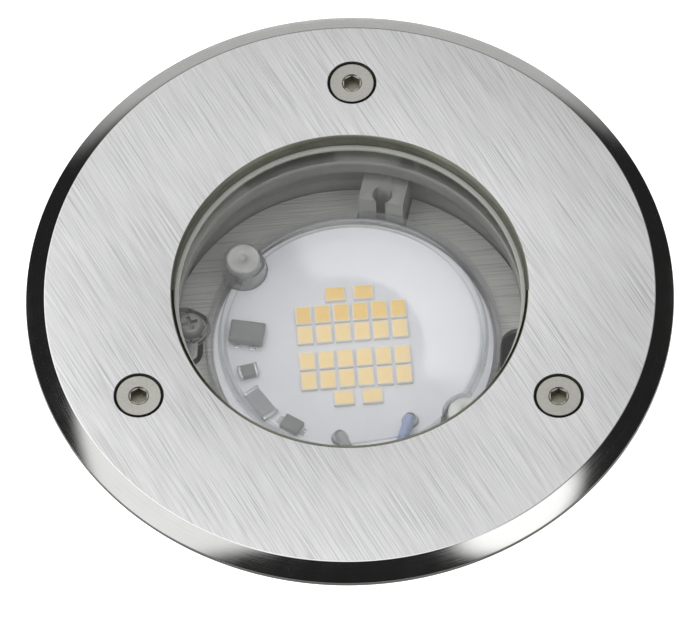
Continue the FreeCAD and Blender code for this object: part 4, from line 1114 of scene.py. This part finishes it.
@dataclass
class Rivet:
    """Nylon push rivet: domed head with a small hollow, shank and barbed tail."""

    name: str
    place: Place
    head: float = 2.95
    bend: float = 0.55
    seat: float = 89.4
    height: float = 1.6
    shank: float = 1.55
    barb: float = 2.1
    low: float = 83.05
    tail: float = 2.4
    dimple: float = 0.75

    def build(self, nodes: Sequence[str]) -> bpy.types.Object:
        """Makes the rivet: its dome's edge is a quarter circle, its middle has a dimple.

        Args:
            nodes: construction nodes that it stands for.

        Returns:
            The piece.
        """
        top = self.seat + self.height
        angle = np.linspace(0, math.pi / 2, 7)
        dome = [*zip(self.head - self.bend * (1 - np.cos(angle)),
                     top - 0.75 + self.bend * np.sin(angle)),
                (1.6, top - 0.06), (self.dimple + 0.12, top)]
        hollow = [(self.dimple, top - 0.08), (self.dimple * 0.7, top - 0.34),
                  (self.dimple * 0.35, top - 0.46), (0, top - 0.5)]
        tip = self.low - self.tail
        corners = [(0, tip), (self.shank - 0.4, tip), (self.barb, self.low - 0.2),
                   (self.barb, self.low), (self.shank, self.low), (self.shank, self.seat),
                   (self.head, self.seat), *dome, *hollow]
        return make_piece(self.name, merged(turned(corners, self.place, 72, closed=False)),
                          [NYLON], Body.LUMINAIRE, "nylon", nodes, 40.0)


@dataclass(frozen=True)
class Spot:
    """A place on the board: middle, and turn in degrees."""

    place: Place
    turn: float = 0.0

    def placed(self, points: Points) -> Points:
        """Points drawn about the spot's own axes, brought to the board."""
        return spun(points, self.turn) + np.array([*self.place, BOARD_TOP])


def on_board(inset: float, angle: float, turn: float = 0.0) -> Spot:
    """A spot at a distance in from the board's edge, at an angle about the module's middle."""
    board_radius = 24.0
    return Spot(on_circle(board_radius - inset, angle, MODULE), turn)


def swept(profile: Sequence[Place], width: float) -> Shape:
    """A flat outline in the XZ plane carried along Y and closed at both ends by fans.

    Args:
        profile: x and z of each corner.
        width: length of the sweep.

    Returns:
        Points and faces.
    """
    line = np.asarray(profile, float)
    middle = np.repeat(line.mean(0)[None], len(line), 0)
    rings = [(middle, -1), (line, -1), (line, 1), (middle, 1)]
    points = np.concatenate([np.column_stack([ring[:, 0], np.full(len(line), side * width / 2),
                                              ring[:, 1]]) for ring, side in rings])
    return points, grid_faces(4, len(line))


def leg_at(profile: Sequence[Place], width: float, turn: float, shift: Place) -> Shape:
    """A bent leg swept from its section, turned about Z by degrees and then shifted.

    Args:
        profile: x and z of each corner of the leg's section.
        width: length of the sweep.
        turn: degrees about Z.
        shift: move along X and Y.

    Returns:
        Points and faces.
    """
    points, faces = swept(profile, width)
    points = spun(points, turn)
    points[:, :2] += shift
    return points, faces


@dataclass
class BoardPart:
    """A part soldered on the board, put together from pieces with a finish each."""

    node: str
    spot: Spot
    finishes: tuple[Finish, ...]

    def pieces(self) -> list[tuple[Shape, int]]:
        """Shapes about the spot, each with the number of its finish."""
        raise NotImplementedError

    def build(self) -> bpy.types.Object:
        """Makes the part.

        Returns:
            The piece.
        """
        pieces = self.pieces()
        (points, faces), source = joined([shape for shape, _ in pieces])
        mesh = merged((self.spot.placed(points), faces), [pieces[number][1] for number in source])
        return make_piece(f"{self.node}_dressed", mesh, self.finishes, Body.LUMINAIRE, "package",
                          [self.node], 35.0)


@dataclass
class Rectifier(BoardPart):
    """Bridge rectifier: moulded body with drafted sides and four bent pins."""

    length: float = 6.0
    width: float = 4.1
    height: float = 1.9
    waist: float = 0.95
    draft: float = 0.25
    gap: float = 0.12
    pin_pitch: float = 2.6
    pin_width: float = 0.8
    # Distance from the body's middle and height of each corner of a bent pin's section.
    pin: tuple[Place, ...] = (
        (1.6, 0.95), (2.28, 0.95), (2.42, 0.8), (2.46, 0.24), (2.65, 0.2), (2.65, 0.02),
        (2.3, 0.02), (2.24, 0.66), (2.14, 0.75), (1.6, 0.75))
    solder: Place = (1.05, 0.55)
    solder_out: float = 2.37

    def pieces(self) -> list[tuple[Shape, int]]:
        """Lower and upper half of the body, four pins and their solder.

        Returns:
            Each shape with the number of its finish.
        """
        made = [(rounded_slab(self.length - self.draft, self.width - self.draft, self.gap,
                              self.waist, corner=0.3, edge=0.05), 0),
                (rounded_slab(self.length, self.width, self.waist - 0.2, self.height,
                              corner=0.35, edge=0.42), 0)]
        for turn, side in ((90.0, 1), (-90.0, -1)):
            for column in (-1, 1):
                along = column * self.pin_pitch / 2
                made.append((leg_at(self.pin, self.pin_width, turn, (along, 0.0)), 1))
                made.append((rounded_slab(*self.solder, 0.0, 0.16, corner=0.2, edge=0.1,
                                          centre=(along, side * self.solder_out),
                                          crown=0.08), 1))
        return made


@dataclass
class EndCapped(BoardPart):
    """A chip part: body between two metal end caps, with a glazed top."""

    length: float = 3.4
    width: float = 2.4
    height: float = 1.3
    cap: float = 0.62
    inset: float = 0.08
    glaze: bool = False

    def pieces(self) -> list[tuple[Shape, int]]:
        """Body, two end caps, and the glaze.

        Returns:
            Each shape with the number of its finish.
        """
        made = [(rounded_slab(self.length - self.cap, self.width - self.inset * 2, 0.0,
                              self.height - self.inset, corner=0.12, edge=0.08), 0)]
        for side in (-1, 1):
            made.append((rounded_slab(
                self.cap, self.width, 0.0, self.height - 0.02, corner=0.14, edge=0.13,
                centre=(side * (self.length - self.cap) / 2, 0), crown=0.02), 1))
        if self.glaze:
            made.append((rounded_slab(
                self.length - self.cap * 2 - 0.1, self.width - 0.42, self.height - 0.12,
                self.height, corner=0.1, edge=0.04), 2))
        return made


@dataclass
class DriverChip(BoardPart):
    """Driver chip: small moulded body with three bent legs at each end."""

    length: float = 3.5
    width: float = 2.6
    height: float = 1.1
    reach: float = 0.9
    leg_width: float = 0.28
    leg_pitch: float = 0.5

    def pieces(self) -> list[tuple[Shape, int]]:
        """Body and six legs.

        Returns:
            Each shape with the number of its finish.
        """
        made = [(rounded_slab(self.length, self.width, 0.1, self.height, corner=0.12,
                              edge=0.16), 0)]
        half = self.length / 2
        leg = [(half - 0.3, 0.62), (half + 0.3, 0.62), (half + 0.48, 0.2),
               (half + self.reach, 0.16), (half + self.reach, 0.02), (half + 0.36, 0.04),
               (half + 0.2, 0.48), (half - 0.3, 0.48)]
        for turn in (0.0, 180.0):
            for step in (-1, 0, 1):
                made.append((leg_at(leg, self.leg_width, turn, (0.0, step * self.leg_pitch)), 1))
        return made


@dataclass
class SolderJoint:
    """Solder dome with a tinned wire end lying in it."""

    name: str
    centre: Place
    foot: float = 1.5
    height: float = 0.4
    wire: float = 0.95
    bead: Place = (1.12, 0.98)

    def build(self, nodes: Sequence[str]) -> bpy.types.Object:
        """Makes the joint: a foot that spreads out and an oval bead over the wire's end.

        Args:
            nodes: construction nodes that it stands for.

        Returns:
            The piece.
        """
        angle = np.linspace(-0.35, math.pi / 2, 12)
        middle = BOARD_TOP + self.height + self.wire * 0.55
        bead = [*zip(self.bead[0] * np.cos(angle), middle + self.bead[1] * np.sin(angle))]
        spread = [(self.foot, BOARD_TOP), (self.foot - 0.02, BOARD_TOP + 0.04),
                  (1.25, BOARD_TOP + 0.16), (1.1, BOARD_TOP + self.height)]
        profile = [(0, BOARD_TOP), *spread, *bead]
        return make_piece(self.name, merged(turned(profile, self.centre, 48, closed=False)),
                          [TIN], Body.LUMINAIRE, "solder", nodes, 60.0)


# ---------------------------------------------------------------- stage, light and camera

@dataclass
class Stage:
    """Pale floor, and a white card that stands for the paving which hides the sleeve from above.

    The card is seen by the camera alone. It throws no shadow and shows in no reflection.
    """

    eye: Vector
    level: float = 103.5
    inner: float = 55.02
    reach: float = 88.0
    nearer: float = 0.3
    half: float = 0.9
    lift: float = 0.55

    def white(self, tree: Tree) -> Socket:
        """Matt white that reads as the picture's white where no shadow falls on it.

        Args:
            tree: the material's tree.

        Returns:
            The shader.
        """
        colour = shaded(tree, grains(tree, (8.0,) * 3), 0.0, 1.0, "#EDEDED", "#F1F1F1")
        matt = add(tree, "BsdfDiffuse", {"Color": colour})
        path = add(tree, "LightPath", {}).node.outputs
        seen = add(tree, "Math", {0: path["Is Camera Ray"], 1: path["Is Transmission Ray"]},
                   operation="MAXIMUM")
        seen = add(tree, "Math", {0: seen, 1: path["Is Glossy Ray"]}, operation="MAXIMUM")
        strength = add(tree, "Math", {0: seen, 1: self.lift}, operation="MULTIPLY")
        lit = add(tree, "Emission", {"Color": linear(WHITE), "Strength": strength})
        return add(tree, "AddShader", {0: matt, 1: lit})

    def card(self) -> bpy.types.Mesh:
        """Half a flat ring round the front of the light, moved towards the eye.

        A point P of the ring becomes eye + nearer * (P - eye), which the eye sees at the same
        place in the picture.

        Returns:
            The mesh, in metres.
        """
        angle = np.linspace(math.radians(184), math.radians(356), 241)
        radii = np.linspace(self.inner, self.reach, 5)
        arc = np.stack([np.cos(angle), np.sin(angle)], -1)
        points = np.concatenate([level_ring(arc * radius, self.level) * MM for radius in radii])
        eye = np.array(self.eye)
        mesh = bpy.data.meshes.new("paving")
        mesh.from_pydata((eye + self.nearer * (points - eye)).tolist(), [],
                         grid_faces(len(radii), len(angle), False, False))
        return mesh

    def build(self) -> None:
        """Makes the floor and the card."""
        white = new_material("stage_white", self.white)
        floor = bpy.data.meshes.new("floor")
        half = self.half
        floor.from_pydata([(-half, -half, 0), (half, -half, 0), (half, half, 0),
                           (-half, half, 0)], [], [(0, 1, 2, 3)])
        card = self.card()
        for mesh in (floor, card):
            mesh.materials.append(white)
            item = bpy.data.objects.new(mesh.name, mesh)
            bpy.context.scene.collection.objects.link(item)
            if mesh is card:
                item.visible_diffuse = item.visible_glossy = False
                item.visible_transmission = item.visible_shadow = False


Edge = tuple[tuple[float, float, float], float, float]


@dataclass(frozen=True)
class SoftBox:
    """A soft light panel seen in reflections.

    Each edge is a direction with two values: the panel fades in where a ray's share of that
    direction goes from the first to the second.
    """

    strength: float
    edges: tuple[Edge, ...]


@dataclass
class Studio:
    """A dark studio with soft panels, drawn on the world so that metal can mirror them."""

    panels: tuple[SoftBox, ...] = (
        # Large panel above and to the left.
        SoftBox(1.31, (((-0.780, -0.546, 0.305), 0.03, 0.12),
                       ((-0.506, 0.835, 0.220), -0.04, 0.08),
                       ((0.548, -0.378, 0.746), -0.03, 0.09), ((0.0, 0.0, 1.0), 0.30, 0.42))),
        # Ceiling over the back, which the level faces mirror.
        SoftBox(0.60, (((0.0, 0.486, 0.874), 0.809, 0.914),)),
        # Small panel to the right, in front.
        SoftBox(1.80, (((0.50, -0.30, 0.81), 0.961, 0.988),)),
        # Wall behind, low down.
        SoftBox(0.68, (((0.0, 1.0, 0.0), 0.80, 0.93), ((0.0, 0.0, -1.0), -0.28, -0.12))),
        # Low band round the front and the sides, for views from behind and from the side.
        SoftBox(0.90, (((0.0, -1.0, 0.0), -0.55, -0.30), ((0.0, 0.0, -1.0), -0.36, -0.24),
                       ((0.0, 0.0, 1.0), -0.10, 0.02))),
    )
    base: float = 0.023
    spread: float = 0.74
    turn: float = 2.1

    def build(self) -> None:
        """Makes the world."""
        world = bpy.data.worlds.new("studio")
        bpy.context.scene.world = world
        world.use_nodes = True
        tree = world.node_tree
        tree.nodes.clear()
        way = add(tree, "VectorMath", {0: add(tree, "TexCoord", {}, "Generated")},
                  operation="NORMALIZE")
        total = add(tree, "Value", {})
        total.default_value = self.base
        turn = Matrix.Rotation(math.radians(self.turn), 3, "Z")
        for panel in self.panels:
            glow = None
            for direction, start, end in panel.edges:
                aim = turn @ Vector(direction).normalized()
                near = add(tree, "VectorMath", {0: way, 1: tuple(aim)}, "Value",
                           operation="DOT_PRODUCT")
                side = add(tree, "MapRange", {"Value": near, "From Min": start, "From Max": end},
                           interpolation_type="SMOOTHSTEP")
                glow = side if glow is None else add(tree, "Math", {0: glow, 1: side},
                                                     operation="MULTIPLY")
            total = add(tree, "Math", {0: glow, 1: panel.strength, 2: total},
                        operation="MULTIPLY_ADD")
        path = add(tree, "LightPath", {}).node.outputs
        # Matt surfaces get more light than mirrors show, as under a wider studio.
        total = add(tree, "Math", {0: path["Is Diffuse Ray"], 1: self.spread, 2: total},
                    operation="MULTIPLY_ADD")
        # The camera sees plain white behind everything.
        seen = add(tree, "Math", {0: path["Is Camera Ray"], 1: path["Is Transmission Ray"]},
                   operation="MAXIMUM")
        strength = add(tree, "Mix", {0: seen, 2: total, 3: 1.0}, data_type="FLOAT")
        sky = add(tree, "Background", {"Color": linear(WHITE), "Strength": strength})
        add(tree, "OutputWorld", {"Surface": sky})


@dataclass
class Camera:
    """The photograph's view: long lens, looking down on the ring, slightly rolled."""

    elevation: float = 60.9
    distance: float = 1346.8
    focus: Place = (-0.057, -4.134)
    level: float = 106.0
    pixels_per_mm: float = 5.9107
    turn: float = 2.1
    roll: float = 1.8

    def build(self) -> Vector:
        """Makes the camera.

        Returns:
            Its place in metres.
        """
        data = bpy.data.cameras.new("view")
        data.sensor_width = 36.0
        data.lens = self.pixels_per_mm * self.distance / IMAGE_WIDTH * data.sensor_width
        data.clip_start, data.clip_end = 0.05, 50.0
        item = bpy.data.objects.new("view", data)
        bpy.context.scene.collection.objects.link(item)
        high = math.radians(self.elevation)
        back = Vector((0, -math.cos(high), math.sin(high)))
        right = Vector((1, 0, 0))
        up = back.cross(right)
        angle = math.radians(self.roll)
        rolled_right = right * math.cos(angle) - up * math.sin(angle)
        rolled_up = right * math.sin(angle) + up * math.cos(angle)
        spot = Vector((*self.focus, self.level)) * MM + back * self.distance * MM
        pose = Matrix((
            (rolled_right.x, rolled_up.x, back.x, spot.x),
            (rolled_right.y, rolled_up.y, back.y, spot.y),
            (rolled_right.z, rolled_up.z, back.z, spot.z),
            (0, 0, 0, 1)))
        item.matrix_world = Matrix.Rotation(math.radians(self.turn), 4, "Z") @ pose
        bpy.context.scene.camera = item
        return item.matrix_world.translation.copy()


# ---------------------------------------------------------------- the whole

# Construction nodes whose shape is right as it is, with finish, body and slot.
PLAIN_NODES: tuple[tuple[str, Finish, Body, str], ...] = (
    ("mounting_sleeve", SLEEVE_PLASTIC, Body.SLEEVE, "sleeve"),
    ("housing", CAST_ALUMINIUM, Body.LUMINAIRE, "casting"),
    ("threaded_inserts", BRASS, Body.LUMINAIRE, "brass"),
    ("mounting_plate", BRUSHED_ALUMINIUM, Body.LUMINAIRE, "plate"),
    ("plate_screws", ZINC, Body.LUMINAIRE, "screw"),
    ("thermal_pad", THERMAL_PAD, Body.LUMINAIRE, "pad"),
    ("led_board", SOLDER_MASK, Body.LUMINAIRE, "board"),
    ("live_lead", GREY_LEAD, Body.LUMINAIRE, "live"),
    ("neutral_lead", BLUE_LEAD, Body.LUMINAIRE, "neutral"),
    ("earth_lead", EARTH_LEAD, Body.LUMINAIRE, "earth"),
    ("earth_lug", TIN, Body.LUMINAIRE, "solder"),
    ("earth_washer", ZINC, Body.LUMINAIRE, "screw"),
    ("earth_screw", ZINC, Body.LUMINAIRE, "screw"),
    ("terminal_block", BLOCK_PLASTIC, Body.LUMINAIRE, "block"),
    ("terminal_sleeves", BRASS, Body.LUMINAIRE, "brass"),
    ("terminal_screws", ZINC, Body.LUMINAIRE, "screw"),
    ("block_screws", ZINC, Body.LUMINAIRE, "screw"),
    ("gland_body", GLAND_NYLON, Body.LUMINAIRE, "gland"),
    ("gland_nut", GLAND_NYLON, Body.NUT, "gland"),
    ("gland_seal", SEAL_RUBBER, Body.LUMINAIRE, "seal"),
    ("gland_oring", SEAL_RUBBER, Body.LUMINAIRE, "seal"),
    ("gland_locknut", GLAND_NYLON, Body.LUMINAIRE, "gland"),
)


def main() -> None:
    """Builds camera, light, stage and every piece of the object."""
    bpy.context.scene.view_settings.view_transform = "Standard"
    eye = Camera().build()
    Studio().build()
    Stage(eye).build()
    for row in PLAIN_NODES:
        dress_node(*row)
    TrimRing().build()
    for row in COVER_SCREWS:
        CoverScrew(*row).build()
    window = Window()
    window.build_glass()
    window.build_gasket()
    ChipArray().build()
    # Distance in from the board's edge, angle about the board's middle, and the part's turn.
    Rectifier("bridge_rectifier", on_board(5.59, 173.8, -8.0), (PACKAGE, TIN)).build()
    EndCapped("surge_absorber", on_board(5.24, 196.4, 15.0), (PACKAGE, TIN)).build()
    EndCapped("chip_resistor", on_board(4.58, 215.6, -53.0), (CERAMIC, TIN, RESISTOR_TOP),
              length=6.3, width=3.1, height=0.7, glaze=True).build()
    DriverChip("driver_chip", on_board(5.25, 236.3, -31.0), (PACKAGE, TIN)).build()
    for name, spot, nodes in (("live_joint", on_board(5.97, 263.0), ["solder_joints"]),
                              ("neutral_joint", on_board(6.5, 304.0), [])):
        SolderJoint(name, spot.place).build(nodes)
    cap = ClearCap()
    cap.build()
    for name, place, nodes in zip(("rivet_left", "rivet_right"), cap.rivets(),
                                  (["cover_rivets"], [])):
        Rivet(name, place).build(nodes)


if __name__ == "__main__":
    main()
